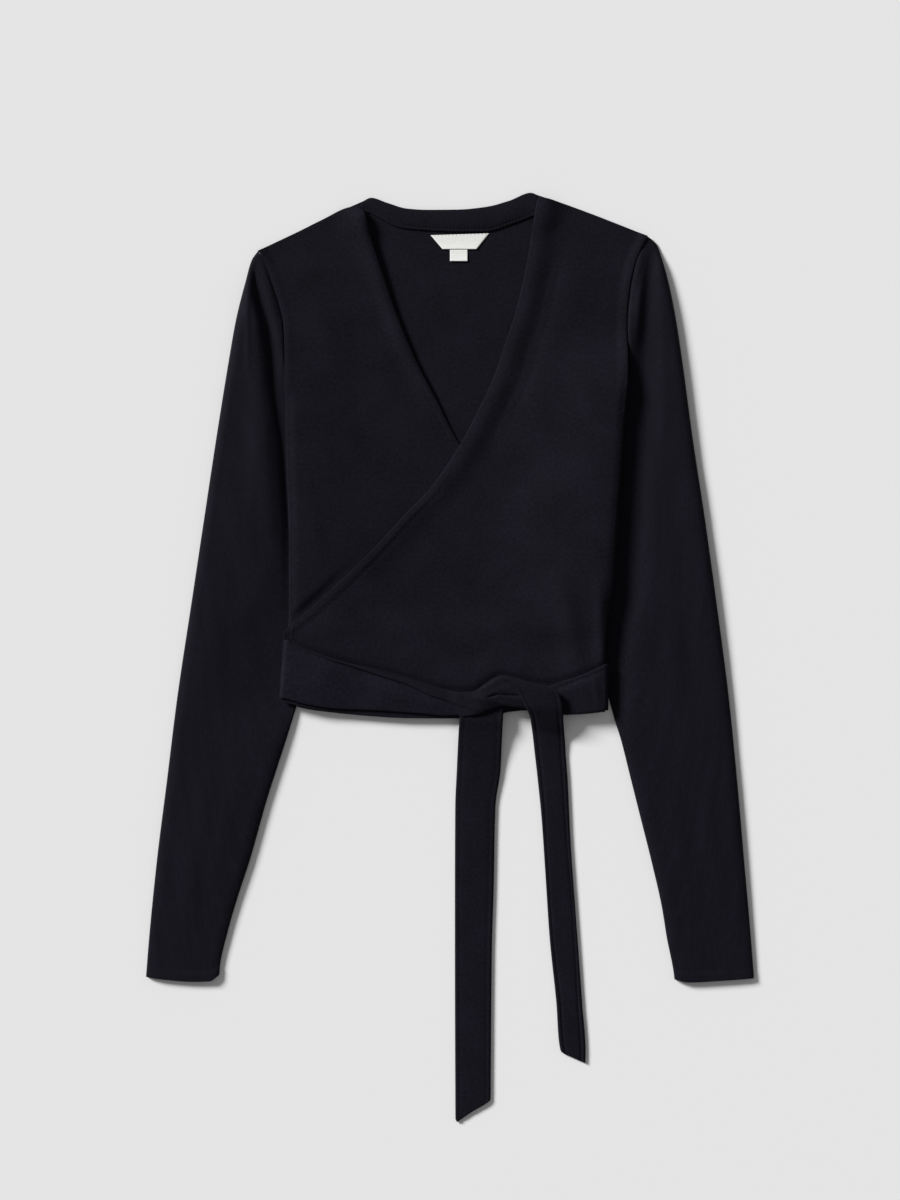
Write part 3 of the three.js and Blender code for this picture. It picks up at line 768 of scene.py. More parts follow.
def over_detail(x, y):
    """Folds, rolls and hem of the over front, its rolled side, and the cloth above the belt."""
    from_edge = square_to(over_edge, x, y)
    from_side = body_right(y) - x
    edge_roll = ridge(from_edge, **OVER_EDGE_ROLL) * (0.35 + 0.65 * ease(y, *EDGE_ROLL_GROWS))
    edge_roll = edge_roll * ease(y, *EDGE_ROLL_STARTS)
    hem = hem_profile(from_edge) * fade(y, *OVER_HEM_ENDS) * ease(y, *OVER_HEM_STARTS)
    above = y - belt_line(x)
    belt_roll = BELT_ROLL["height"] * ease(above, *BELT_ROLL["rises"]) * fade(above, *BELT_ROLL["sinks"])
    tall = (1 - 0.8 * ease(y, *OVER_SIDE["lower_from"])) * fade(y, *OVER_SIDE["ends"])
    tall = tall * (0.15 + 0.85 * ease(y, *OVER_SIDE["starts"]))
    side = OVER_SIDE["height"] * fade(from_side, *OVER_SIDE["sinks"]) * tall
    drop = OVER_SIDE_EDGE["drop"] * fade(from_side, *OVER_SIDE_EDGE["width"])
    side -= drop * tall * fade(y, *OVER_SIDE_EDGE["ends"])
    along_neck = np.maximum(edge_roll + rolls(OVER_ROLLS, from_edge, y), 0)
    return folds(OVER_FOLDS, x, y) + along_neck + hem + side + belt_roll


print("folds on the fronts:", len(UNDER_FOLDS["x0"]), len(OVER_FOLDS["x0"]))

# %% [markdown]
# The fold at the side of a front is half an ellipse, from the face over the side to below. Its
# outer and inner wall are a cloth's thickness apart. The tie turns under in the same way, so both
# use one helper.

# %% Fronts
FRONT_STEP = 2.6
FRONT_WIDTH = 285
TURN_STEPS = 9
TURN_DEPTH = 3.2
RETURN_STEPS = 9
HOLLOW_SHARE = 0.85
DEEPEST_DIP = -0.3


def side_turn(x, y, side, reach, high, low, angles):
    """Points round a fold from its top over its side to below, one row for each angle."""
    angles = angles[:, None]
    out = x + side * reach * np.sin(angles)
    up = (high + low) / 2 + (high - low) / 2 * np.cos(angles)
    return np.stack(np.broadcast_arrays(out, y, up), axis=-1)


def front_piece(name, side, body, seam, free_edge, top, height, detail):
    """A front with its side folded under. Side is -1 for the left one and 1 for the right."""
    def side_edge(y):
        fold_depth = np.where(y > RETURN_TOP, 0.0, TURN_DEPTH)
        return body(y) - side * (join(y) - seam_lap(y) + fold_depth)

    across = edge_shares(int(FRONT_WIDTH / FRONT_STEP), FRONT_WIDTH)
    x, y = panel_places(side_edge, free_edge, top, across, FRONT_STEP)
    from_side, from_free, from_hem, from_top = edge_distance(x, y)
    folded = y[:, :1] <= RETURN_TOP
    rim = np.minimum.reduce([from_free, from_hem, from_top])
    rim = np.where(folded, rim, np.minimum(rim, from_side))
    rise = round_off(rim, CLOTH / 2)
    extra = detail(x, y)
    hollow = np.maximum(extra, 0) * HOLLOW_SHARE
    whole = hollow * fade(from_side, 8, 20) * ease(y, RETURN_TOP, RETURN_TOP + 12)
    middle = height(x, y) + CLOTH / 2 + whole
    thick = CLOTH / 2 + np.maximum(extra, DEEPEST_DIP) - whole
    face = np.stack([x, y, middle + thick * rise], axis=-1)
    lining = np.stack([x, y, middle + (hollow - whole - CLOTH / 2) * rise], axis=-1)

    row_y = y[:, 0]
    edge = side_edge(row_y)
    high = face[:, 0, 2]
    low = SLEEVE_LIFT + tie_lift(row_y)
    angles = np.linspace(0, math.pi, TURN_STEPS + 2)[1:-1]
    shares = np.linspace(0, 1, RETURN_STEPS)[:, None]
    way_back = edge + (seam(row_y) + side * GAP - edge) * shares
    outer = side_turn(edge, row_y, side, TURN_DEPTH, high, low, angles)
    inner = side_turn(edge, row_y, side, TURN_DEPTH - CLOTH, high - CLOTH, low + CLOTH, angles)
    outer_back = np.stack(np.broadcast_arrays(way_back, row_y, low), axis=-1)
    inner_back = np.stack(np.broadcast_arrays(way_back, row_y, low + CLOTH), axis=-1)
    outer = np.concatenate([outer, outer_back])[::-1].swapaxes(0, 1)
    inner = np.concatenate([inner, inner_back])[::-1].swapaxes(0, 1)
    closed = lining[:, :1]
    face = np.concatenate([np.where(folded[:, :, None], outer, closed), face], axis=1)
    lining = np.concatenate([np.where(folded[:, :, None], inner, closed), lining], axis=1)
    return wall(name, face, lining, face[..., :2].copy(), navy_jersey)


left_top = along_edge(line_of(SHOULDER_LEFT), SHOULDER_LEFT[0][0] - SEAM_LAP, SHOULDER_LEFT[-1][0])
right_top = along_edge(line_of(SHOULDER_RIGHT), SHOULDER_RIGHT[-1][0] + SEAM_LAP, SHOULDER_RIGHT[0][0])
front_under = front_piece(
    "front_under", -1, body_left, seam_left, under_edge, left_top, under_front_height, under_detail,
)
dress(front_under, "front_under")
front_over = front_piece(
    "front_over", 1, body_right, seam_right, over_edge, right_top, over_front_height, over_detail,
)
dress(front_over, "front_over")

# %% [markdown]
# A sleeve is a tube pressed almost flat. It keeps some air, so its upper wall stands in a soft
# pillow between the outer fold and the body, and dips into a valley where it goes under the body.
# The valley starts at the shoulder and runs down to meet the body's side. Between the valley and
# the armhole seam a short ridge of the sleeve head stays up. An inflated cushion would stand the
# same all round, so the pillow's height and its distance from the body are columns of a table.

# %% Sizes of the sleeves
SLEEVES = {
    "left": {
        "side": -1,
        "seam": seam_left,
        "body": body_left,
        "outer": table("y x", [
            [357.5, -168.9], [350, -174.2], [332, -179.5], [297, -188.3], [262, -194.5], [191, -205.9],
            [121, -216.5], [51, -227.0], [-37, -240.2], [-108, -249.0], [-178, -257.8], [-249, -264.9],
            [-280.7, -267.4],
        ]),
        "inner": table("y x", [
            [138.4, -79.4], [130, -80.4], [51, -105.1], [-43, -135.0], [-73, -144.3], [-125, -161.0],
            [-178, -176.0], [-213, -187.4], [-242, -195.7], [-272, -202.4], [-279, -202.9],
        ]),
        "cuff": [
            [-267.4, -280.7], [-253.0, -283.0], [-224.4, -285.0], [-211.2, -284.6], [-202.9, -279.0],
        ],
        "valley": table("y from_body rise puff round", [
            [358, 7, 8, 2.0, 0.6], [340, 13, 8, 6.0, 0.8], [314, 19.0, 8, 6.8, 0.9],
            [288, 17.0, 9, 6.4, 0.9], [262, 13.5, 10, 5.8, 0.9], [238, 12.0, 11, 5.4, 0.9],
            [209, 7.5, 12, 5.0, 0.9], [183, 4.0, 14, 4.8, 0.9], [139, 2.6, 15, 4.6, 0.9],
            [86, 2.0, 20, 4.2, 0.8], [50, 2.0, 34, 3.8, 0.5], [15, 3.2, 60, 3.4, 0.1],
            [-60, 3.2, 60, 3.2, 0.0],
        ]),
        "creases": table("x0 y0 x1 y1 height width", [
            [-178.4, 342, -177.2, 246, 0.8, 2.0], [-165, 345, -149.5, 280, 2.6, 5.5],
            [-150, 290, -144, 236, 2.4, 6.0], [-173, 318, -168, 236, 1.4, 9],
            [-169, 240, -161, 120, 2.6, 12], [-205, 60, -225, -60, 0.8, 12],
            [-190, 160, -178, 60, 0.7, 14], [-215, -120, -232, -230, 0.9, 10],
            [-190, -110, -208, -200, 0.7, 9],
        ]),
    },
    "right": {
        "side": 1,
        "seam": seam_right,
        "body": body_right,
        "outer": table("y x", [
            [370.5, 173.9], [364, 181.3], [353, 185.7], [332, 191.8], [297, 198.9], [262, 204.2],
            [191, 213.8], [121, 224.4], [51, 234.1], [-37, 245.5], [-108, 252.6], [-178, 258.7],
            [-249, 264.9], [-282, 267.4],
        ]),
        "inner": table("y x", [
            [138.4, 99.4], [130, 99.4], [51, 119.2], [-51, 143.8], [-73, 150.5], [-108, 159.3],
            [-143, 168.1], [-178, 176.9], [-221, 186.6], [-246, 190.6], [-277, 196.7], [-283, 197.4],
        ]),
        "cuff": [[197.4, -283.0], [209.4, -285.6], [238.0, -284.2], [267.4, -282.0]],
        "valley": table("y from_body rise puff round", [
            [371, 8, 10, 2.0, 0.2], [350, 12, 12, 4.0, 0.2], [315, 15, 17, 4.3, 0.2],
            [270, 15.5, 19, 3.9, 0.1], [226, 15, 20, 3.6, 0.1], [183, 15.5, 20, 3.5, 0.1],
            [139, 14.5, 22, 3.4, 0.1], [86, 14.5, 22, 3.4, 0.1], [50, 13.5, 20, 3.3, 0.1],
            [15, 10.5, 20, 3.1, 0.1], [-20, 3.6, 24, 2.9, 0.0], [-60, 3.2, 24, 3.0, 0.0],
        ]),
        "creases": table("x0 y0 x1 y1 height width", [
            [169, 352, 160.5, 262, 5.2, 6.5], [164.5, 358, 157.6, 322, 2.6, 3.6],
            [157.6, 328, 156.6, 262, 2.6, 3.6], [190, 330, 214, 130, 1.4, 13],
            [214, 150, 238, -60, 1.4, 13], [205, 120, 222, 0, 0.7, 14],
            [190, 60, 200, -40, 0.7, 12], [222, -110, 236, -220, 0.8, 10],
            [196, -120, 208, -200, 0.6, 9],
        ]),
    },
}
FOREARM_PUFF = 3.4
SLEEVE_EDGE = 11
SLEEVE_ROWS = 250
SLEEVE_COLUMNS = 60
SLEEVE_LENGTH = 640
EDGE_CROWDING = 0.6
CUFF_HEM = {"width": 9, "height": 0.35}
CUFF_REACH = (0, 120)
SLEEVE_HEAD_REACH = (0, 30)
FOREARM_REACH = (60, 120)
BODY_HEM_ENDS = (-149, 136)
BODY_HEM_REACH = (-10, 40)
THINNEST_WALL = 0.4
print("creases on the sleeves:", [len(sizes["creases"]["x0"]) for sizes in SLEEVES.values()])

# %% [markdown]
# The rows of a sleeve run from the armhole seam to the cuff, and its columns from the outer fold
# to the inner one. The lower wall lies flat on the surface. The upper wall is that flat tube plus
# the pillow and the creases, and the lining follows both from inside.

# %% Sleeves
def climb_shape(share, roundness):
    """The sleeve's wall out of the valley: an even S, or steep at its foot like a pillow's edge."""
    return (1 - roundness) * ease(share, 0, 1) + roundness * round_off(share, 1)


def sleeve_places(side, seam, outer, inner, cuff):
    """A grid of places over a sleeve, with closer columns at both folds, and its columns' shares."""
    outer_x = smooth(outer, "y", "x")
    inner_x = smooth(inner, "y", "x")
    cuff_y = line_of(cuff)
    shoulder, outer_wrist = outer["y"][[0, -1]]
    underarm, inner_wrist = inner["y"][[0, -1]]

    def armhole(share):
        y = shoulder + (underarm - shoulder) * share
        return seam(y) + side * join(y), y

    turned = (1 - np.cos(np.linspace(0, math.pi, SLEEVE_COLUMNS))) / 2
    even_shares = np.linspace(0, 1, SLEEVE_COLUMNS)
    across = EDGE_CROWDING * turned + (1 - EDGE_CROWDING) * even_shares
    wrist = along_edge(cuff_y, outer_x(outer_wrist), inner_x(inner_wrist))
    both_folds = [down_edge(outer_x, shoulder, outer_wrist), down_edge(inner_x, underarm, inner_wrist)]
    x, y = patch(armhole, wrist, *both_folds, across, edge_shares(SLEEVE_ROWS, SLEEVE_LENGTH))
    return x, y, across


def sleeve_piece(name, side, seam, body, outer, inner, cuff, valley, creases):
    valley_at, valley_rise, valley_puff, valley_round = [
        smooth(valley, "y", column) for column in ("from_body", "rise", "puff", "round")
    ]
    x, y, across = sleeve_places(side, seam, outer, inner, cuff)
    from_outer, from_inner, from_armhole, from_cuff = edge_distance(x, y)
    from_body = side * (x - body(y))
    near_hem = ease(hem_line(np.clip(x, *BODY_HEM_ENDS)) - y, *BODY_HEM_REACH)
    climb = np.clip((from_body - valley_at(y)) / valley_rise(y), 0, 1)
    open_air = climb_shape(climb, valley_round(y))
    open_air = open_air + (1 - open_air) * near_hem
    outer_round = round_off(from_outer, SLEEVE_EDGE)
    inner_round = round_off(from_inner, SLEEVE_EDGE) * near_hem + 1 - near_hem
    height = valley_puff(y) + (FOREARM_PUFF - valley_puff(y)) * ease(-y, *FOREARM_REACH)
    puff = height * open_air * outer_round * inner_round * ease(from_armhole, *SLEEVE_HEAD_REACH)
    puff *= 0.55 + 0.45 * ease(from_cuff, *CUFF_REACH)
    clear = np.maximum(np.maximum(ease(from_body, 1.5, 5), ease(y, 216, 234)), near_hem)
    at_seam = 0.5 + 0.5 * ease(from_armhole, 0.45, 1.05)
    cuff_hem = hem_profile(from_cuff, **CUFF_HEM) * outer_round
    ridges = (folds(creases, x, y) + cuff_hem) * clear * at_seam

    flat = SLEEVE_FLAT / 2
    rim = round_off(np.minimum(from_outer, from_inner), flat)
    inset = side * CLOTH * np.sign(0.5 - across)[None, :] * (1 - rim)
    top = flat + (flat + puff + np.maximum(ridges, DEEPEST_DIP)) * rim
    top_in = flat + (flat - CLOTH) * rim + np.maximum(puff + ridges, 0)
    upper = np.stack([x, y, top], axis=-1)
    upper_in = np.stack([x - inset, y, np.minimum(top_in, top - THINNEST_WALL)], axis=-1)
    lower = np.stack([x, y, flat - flat * rim], axis=-1)[:, ::-1][:, 1:-1]
    lower_in = np.stack([x - inset, y, flat - (flat - CLOTH) * rim], axis=-1)[:, ::-1][:, 1:-1]
    face = np.concatenate([upper, lower], axis=1)
    lining = np.concatenate([upper_in, lower_in], axis=1)
    cut = np.stack([from_outer, from_armhole], axis=-1)
    cut = np.concatenate([cut, -cut[:, ::-1][:, 1:-1]], axis=1)
    return tube(name, face, lining, cut, navy_jersey)


for which, sizes in SLEEVES.items():
    node = f"sleeve_{which}"
    sleeve = sleeve_piece(node, **sizes)
    dress(sleeve, node)

# %% [markdown]
# The tie is a long doubled strip. It passes below the back, comes round both sides and lies on
# the fronts. Its two stretches at the front follow whatever is below them, so their heights are
# those of the over front with its folds, plus a gap. Shrinkwrap would press a strip on the front
# as well, but a height that is worked out keeps the same gap everywhere.

# %% Tie stretches at the front and behind
TIE_LEFT = table("x top bottom", [
    [-144, 15.5, -36.0], [-128, 8.0, -40.5], [-99, -2.0, -45.0], [-63, -11.5, -46.5],
    [-28, -21.0, -49.0], [-5, -28.5, -51.0], [18, -31.5, -50.5],
])
TIE_RIGHT = table("x top bottom", [
    [84, -26.0, -49.0], [99, -20.5, -50.0], [107, -18.0, -49.6], [122, -12.4, -48.4],
    [136, -5.5, -46.3],
])
TIE_BEHIND = table("share top bottom", [[0, 19.0, -35.0], [0.5, 8.0, -42.0], [1, -5.5, -45.0]])
TIE_CREASES = table("x0 y0 x1 y1 height width", [
    [-140, 4, -80, -22, 0.8, 6], [-80, -22, -10, -40, 0.9, 5], [-60, -34, 5, -45, 0.6, 4],
    [-140, -20, -100, -34, 0.5, 7], [90, -36, 125, -28, 0.6, 6], [88, -34, 130, -18, 0.6, 4],
    [94, -26.8, 136, -10.8, -1.1, 1.2], [126, -14, 131, -44, 0.7, 2.6],
])
TIE_STEP = 2.0
TIE_CROWN = 0.5
TIE_TURN = 1.6
TIE_TURN_STEPS = 11
TIE_RETURN = 5
TIE_REACH_OUT = 4.2
TIE_REACH_IN = 2.2
TIE_CLEAR = 0.4
BEHIND_OVERRUN = 0.03


def front_surface(x, y):
    """Top of the over front with its folds."""
    return over_front_height(x, y) + CLOTH + np.maximum(over_detail(x, y), 0)


def tie_crown(share):
    return TIE_CROWN * np.sin(math.pi * np.clip(share, 0, 1))


def tie_places(rows):
    """Stations along a stretch, with a grid of places across it."""
    stations = np.linspace(rows["x"][0], rows["x"][-1], int(np.ptp(rows["x"]) / TIE_STEP) + 2)
    width = float(np.mean(rows["top"] - rows["bottom"]))
    shares = edge_shares(max(10, int(width / 1.6)), width, edge=TIE_EDGE)
    share, x = np.meshgrid(shares, stations)
    top, bottom = [smooth(rows, "x", side)(x) for side in ("top", "bottom")]
    return x, top + (bottom - top) * share


def tie_stretch(name, rows, side, body, material):
    """A stretch at the front. Its outer end turns under beside the body."""
    x, y = tie_places(rows)
    if side > 0:
        x, y = x[::-1], y[::-1]
    from_top, from_bottom = edge_distance(x, y)[:2]
    rise = round_off(np.minimum(from_top, from_bottom), TIE / 2)
    middle = front_surface(x, y) + GAP + TIE / 2
    crown = tie_crown(from_top / (from_top + from_bottom))
    face = np.stack([x, y, middle + (TIE / 2 + crown + folds(TIE_CREASES, x, y)) * rise], axis=-1)
    lining = np.stack([x, y, middle - TIE / 2 * rise], axis=-1)

    y_end = y[0]
    centre = body(y_end) - side * TIE_TURN
    angles = np.linspace(0, math.pi, TIE_TURN_STEPS)

    def turned(reach, high, low):
        round_fold = side_turn(centre, y_end, side, reach, high, low, angles)
        end = np.stack(np.broadcast_arrays(centre - side * TIE_RETURN, y_end, low), axis=-1)
        return np.concatenate([round_fold, end[None]])

    outer = turned(TIE_REACH_OUT, face[0, :, 2], SLEEVE_LIFT)
    inner = turned(TIE_REACH_IN, lining[0, :, 2], SLEEVE_LIFT + TIE)
    between = (outer + inner) / 2
    outer = between + (outer - between) * rise[0][:, None]
    inner = between + (inner - between) * rise[0][:, None]
    clear_rows = np.where((side * (centre[None, :] - x) > TIE_CLEAR).all(axis=1))[0]
    face = np.concatenate([outer[::-1], face[clear_rows]])
    lining = np.concatenate([inner[::-1], lining[clear_rows]])
    along = np.cumsum(np.full(face.shape[:2], TIE_STEP), axis=0)
    return wall(name, face, lining, np.stack([along, face[..., 1]], axis=-1), material)


# The left stretch uses the lighter copy of the tie's navy, a painted highlight.
tie_left = tie_stretch("tie_left", TIE_LEFT, -1, body_left, navy_tie_painted_light)
dress(tie_left, "tie_left")
tie_right = tie_stretch("tie_right", TIE_RIGHT, 1, body_right, navy_tie)
dress(tie_right, "tie_right")

behind_places = np.linspace(-BEHIND_OVERRUN, 1 + BEHIND_OVERRUN, 130)
share, place = np.meshgrid(edge_shares(24, 45, edge=TIE_EDGE), behind_places)
top, bottom = [smooth(TIE_BEHIND, "share", side)(np.clip(place, 0, 1)) for side in ("top", "bottom")]
y = top + (bottom - top) * share
left_end = body_left(y) + TIE_TURN + TIE_RETURN + GAP
right_end = body_right(y) - TIE_TURN - TIE_RETURN - GAP
x = left_end + (right_end - left_end) * (place + BEHIND_OVERRUN) / (1 + 2 * BEHIND_OVERRUN)
tie_back = rounded_wall("tie_back", x, y, sleeve_lift(x, y, BACK_FADE), TIE, navy_tie)
dress(tie_back, "tie_back")

# %% [markdown]
# The knot is a half bow with both ends out. One strand crosses it, the right tail comes up from
# behind, folds over the strand and falls, and the left tail comes out from below it. Each is a
# strip with rows across it. A row has its two edges, its height and its bulge. A curve with a
# flat profile would be quicker, but its width couldn't open and close where the knot pulls.

# %% Tables of the knot and tails
STRAND = table("ax ay bx by", [
    [-137, 11.0, -137, 10.6], [-112, 1.2, -112, 0.2], [-84.5, -5.7, -84.5, -8.6],
    [-59.8, -10.7, -59.8, -16.7], [-38.1, -16.5, -38.1, -23.7], [-16.7, -23.7, -16.7, -33.4],
    [-2, -28.4, -2, -38.6], [9, -30.2, 11, -51.5], [20, -29.6, 24, -50.0], [31, -22.6, 35, -45.6],
    [44, -15.6, 45, -42.5], [60, -18.2, 60, -43.5], [70, -22, 70, -45], [80, -27, 80, -46],
])
STRAND_LINE = line_of([
    [-137, 10.6], [-112, 0.2], [-84.5, -8.6], [-59.8, -16.7], [-38.1, -23.7], [-16.7, -33.4],
    [-2, -38.6], [10, -42.6], [22, -46.8], [34, -49.5], [80, -60],
])
STRAND_CREASES = table("x0 y0 x1 y1 height width", [
    [33, -34.5, 42, -32.2, -1.6, 1.1], [42, -32.2, 62, -33.5, -1.6, 1.1],
    [36, -36.5, 62, -44, 0.8, 2.0], [24, -29, 44, -19, 0.9, 2.6], [14, -35, 34, -36, 0.9, 2.6],
    [40, -28, 56, -26, 0.5, 2.4],
])
STRAND_HEIGHT = 10.8
STRAND_BULGE = 2.6
STRAND_WIDTH = 20
STRAND_STATIONS = 150
STRAND_LEAVES_TIE = (-4, 10)
STRAND_SWELLS = (10, 34)
STRAND_GOES_DOWN = (62, 80)
STRAND_CREASED = (8, 20)
STRAND_STEP = (-0.7, 0.9)
STRAND_TIP = {"slope": 0.08, "least": 0.02}
TAIL_LEFT = table("ax ay bx by z crown", [
    [9.0, -44, 47.0, -38, 8.5, 0], [8.4, -53, 46.6, -53, 8.5, 0], [7.6, -64, 46.0, -64, 5.8, 0.6],
    [6.8, -80, 45.3, -80, 3.0, 0.9], [6.0, -98, 44.5, -98, 1.0, 1.0], [4.6, -131, 40.0, -131, 0, 1.0],
    [4.3, -200, 38.5, -200, 0, 0.6], [4.3, -260, 36.8, -260, 0, 0.6], [4.4, -320, 36.2, -320, 0, 0.6],
    [4.6, -372, 35.9, -366, 0, 0.5], [4.8, -405.5, 35.7, -388.5, 0, 0.2], [6.2, -408.8, 20.0, -399, 0, 0],
])
TAIL_RIGHT = table("ax ay bx by z crown", [
    [44.6, -17, 81.8, -23.3, 14.6, 0.6], [56.0, -25, 95.9, -32, 15.8, 1.0],
    [65.0, -41, 98.6, -43, 15.0, 1.0], [70.0, -52, 99.7, -58, 9.0, 0.9],
    [72.4, -66, 101.0, -72, 1.4, 0.9], [74.5, -84, 102.0, -88, 0, 0.9],
    [77.0, -106, 103.5, -108, 0, 0.9], [80.6, -142, 105.9, -159, 0, 0.7],
    [84.0, -192, 110.0, -218, 0, 0.6], [87.6, -246, 113.5, -265, 0, 0.6],
    [93.3, -301, 116.5, -307, 0, 0.6], [97.4, -346, 119.3, -349, 0, 0.3],
    [100.0, -348.5, 119.0, -357, 0, 0],
])
TAIL_STATIONS = 220
TAIL_HEM = {"centre": 4.0, "width": 0.9}
TAIL_SEAM = {"centre": 2.0, "width": 1.3, "height": 0.35}
print("rows of the strand and the tails:", [len(rows["ax"]) for rows in (STRAND, TAIL_LEFT, TAIL_RIGHT)])

# %% [markdown]
# Every strip is built from its table in the same way: a smooth curve through each column, places
# between its two edges, and a face and a lining that meet in a round edge. A tail is pulled down
# a little beside each edge, where it is sewn. The strand starts as a thin fold on the left tie,
# leaves it at the knot and swells there, because it is wrapped round the other strands.

# %% Knot and tails
def ribbon_places(rows, travel, shares, spots):
    """A grid of places between the two edges of a strip, and its other columns' curves."""
    curves = {key: smooth({**rows, "t": travel}, "t", key) for key in rows}
    share, t = np.meshgrid(shares, spots)
    x = curves["ax"](t) + (curves["bx"](t) - curves["ax"](t)) * share
    y = curves["ay"](t) + (curves["by"](t) - curves["ay"](t)) * share
    return x, y, share, t, curves


def strap(name, rows, edge_ridge):
    """A strip from a table of its edges, smooth along its length, with its length and width."""
    middle_x = (rows["ax"] + rows["bx"]) / 2
    middle_y = (rows["ay"] + rows["by"]) / 2
    travel = np.concatenate([[0], np.cumsum(np.hypot(np.diff(middle_x), np.diff(middle_y)))])
    length = travel[-1]
    near_end = np.array(TIE_EDGE[1:])
    spots = np.unique(np.concatenate([np.linspace(0, length, TAIL_STATIONS), near_end, length - near_end]))
    widths = np.hypot(rows["ax"] - rows["bx"], rows["ay"] - rows["by"])
    width = float(np.trapz(widths, travel) / length)
    shares = edge_shares(26, width, edge=TIE_EDGE)
    x, y, share, t, curves = ribbon_places(rows, travel, shares, spots)
    sides = edge_distance(x, y)
    bulge = curves["crown"](t) * (1 - (2 * share - 1) ** 4)
    dips = [ridge(side, height=edge_ridge, **TAIL_HEM) - ridge(side, **TAIL_SEAM) for side in sides[:2]]
    rise = round_off(np.minimum.reduce(sides), TIE / 2)
    middle = curves["z"](t) + bulge + TIE / 2
    face = np.stack([x, y, middle + (TIE / 2 - sum(dips)) * rise], axis=-1)
    lining = np.stack([x, y, middle - TIE / 2 * rise], axis=-1)
    return wall(name, face, lining, np.stack([share * width, t], axis=-1), navy_tie), length, width


def strand():
    """The folded upper strip of the left tie, which widens and crosses over the left tail."""
    middle_x = (STRAND["ax"] + STRAND["bx"]) / 2
    spots = np.linspace(middle_x[0], middle_x[-1], STRAND_STATIONS)
    shares = edge_shares(30, STRAND_WIDTH, edge=TIE_EDGE)
    x, y, share, t, _ = ribbon_places(STRAND, middle_x, shares, spots)
    from_a, from_b, from_tip, from_end = edge_distance(x, y)
    from_tip = np.maximum(from_tip * STRAND_TIP["slope"], STRAND_TIP["least"])
    distance = np.minimum.reduce([from_a, from_b, from_tip, from_end])
    tie_high, tie_low = [smooth(TIE_LEFT, "x", side)(x) for side in ("top", "bottom")]
    crown = tie_crown((tie_high - y) / (tie_high - tie_low))
    tie_top = front_surface(x, y) + GAP + TIE + crown + np.maximum(folds(TIE_CREASES, x, y), 0)
    on_tie = tie_top + GAP
    low = on_tie + (STRAND_HEIGHT - on_tie) * ease(x, *STRAND_LEAVES_TIE)
    swollen = ease(x, *STRAND_SWELLS) * fade(x, *STRAND_GOES_DOWN)
    bulge = STRAND_BULGE * swollen * (1 - (2 * share - 1) ** 2)
    upper = ease(y - STRAND_LINE(x), *STRAND_STEP)
    lower_thick = 0.35 + 1.65 * ease(x, 4, 24)
    upper_thick = 0.3 + 1.2 * ease(x, -137, -70) + 1.0 * ease(x, -4, 20)
    thick = lower_thick + (upper_thick - lower_thick) * upper
    half = np.minimum(thick, TIE) / 2
    rise = round_off(distance, TIE / 2)
    middle = low + bulge + half
    creases = folds(STRAND_CREASES, x, y) * ease(x, *STRAND_CREASED)
    face = np.stack([x, y, middle + (thick - half + creases) * rise], axis=-1)
    lining = np.stack([x, y, middle - half * rise], axis=-1)
    return wall("knot_strand", face, lining, np.stack([t, share * STRAND_WIDTH], axis=-1), navy_tie)


knot = strand()
knot.name = "tie_strand_cloth"
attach(knot, "root")
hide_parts("knot_strand", "tie_left_fold")

for node, rows, hem_dip in (("tail_left", TAIL_LEFT, 0.35), ("tail_right", TAIL_RIGHT, 0.75)):
    piece, length, width = strap(node, rows, hem_dip)
    dress(piece, node)
    print(node, "is", round(length), "mm long")

# %% [markdown]
# Stitches are one small bead of thread again and again along a line. An array could repeat a
# bead, but only along one curve and at one size. A Geometry Nodes tree turns any line of points
# into a curve, sets a bead at each pitch along it, turned the way the line runs, and makes the
# beads real mesh. Its sizes are inputs, so the same tree sews the hem, the neckband, the cuffs
# and the label. The lines are laid on the cloth from above.

# %% A tree that sews
SEWING_NODES = {
    "given": "NodeGroupInput",
    "line": "GeometryNodeMeshToCurve",
    "places": "GeometryNodeCurveToPoints",
    "bead": "GeometryNodeMeshIcoSphere",
    "size": "ShaderNodeCombineXYZ",
    "smooth_bead": "GeometryNodeSetShadeSmooth",
    "sewn": "GeometryNodeInstanceOnPoints",
    "real": "GeometryNodeRealizeInstances",
    "dyed": "GeometryNodeSetMaterial",
    "made": "NodeGroupOutput",
}
SEWING_LINKS = [
    ("given", "Geometry", "line", "Mesh"),
    ("line", "Curve", "places", "Curve"),
    ("given", "Pitch", "places", "Length"),
    ("given", "Thread Width", "size", "X"),
    ("given", "Thread Width", "size", "Y"),
    ("given", "Stitch Length", "size", "Z"),
    ("places", "Points", "sewn", "Points"),
    ("places", "Rotation", "sewn", "Rotation"),
    ("bead", "Mesh", "smooth_bead", "Geometry"),
    ("smooth_bead", "Geometry", "sewn", "Instance"),
    ("size", "Vector", "sewn", "Scale"),
    ("sewn", "Instances", "real", "Geometry"),
    ("real", "Geometry", "dyed", "Geometry"),
    ("given", "Thread", "dyed", "Material"),
    ("dyed", "Geometry", "made", "Geometry"),
]


def stitch_tree():
    tree = bpy.data.node_groups.new("stitch_row", "GeometryNodeTree")
    new_socket = tree.interface.new_socket
    new_socket("Geometry", in_out="INPUT", socket_type="NodeSocketGeometry")
    for name in ("Pitch", "Stitch Length", "Thread Width"):
        new_socket(name, in_out="INPUT", socket_type="NodeSocketFloat")
    new_socket("Thread", in_out="INPUT", socket_type="NodeSocketMaterial")
    new_socket("Geometry", in_out="OUTPUT", socket_type="NodeSocketGeometry")
    nodes = {name: tree.nodes.new(kind) for name, kind in SEWING_NODES.items()}
    nodes["places"].mode = "LENGTH"
    nodes["bead"].inputs["Radius"].default_value = 0.5
    nodes["bead"].inputs["Subdivisions"].default_value = 1
    for start, output, end, socket in SEWING_LINKS:
        tree.links.new(nodes[start].outputs[output], nodes[end].inputs[socket])
    return tree


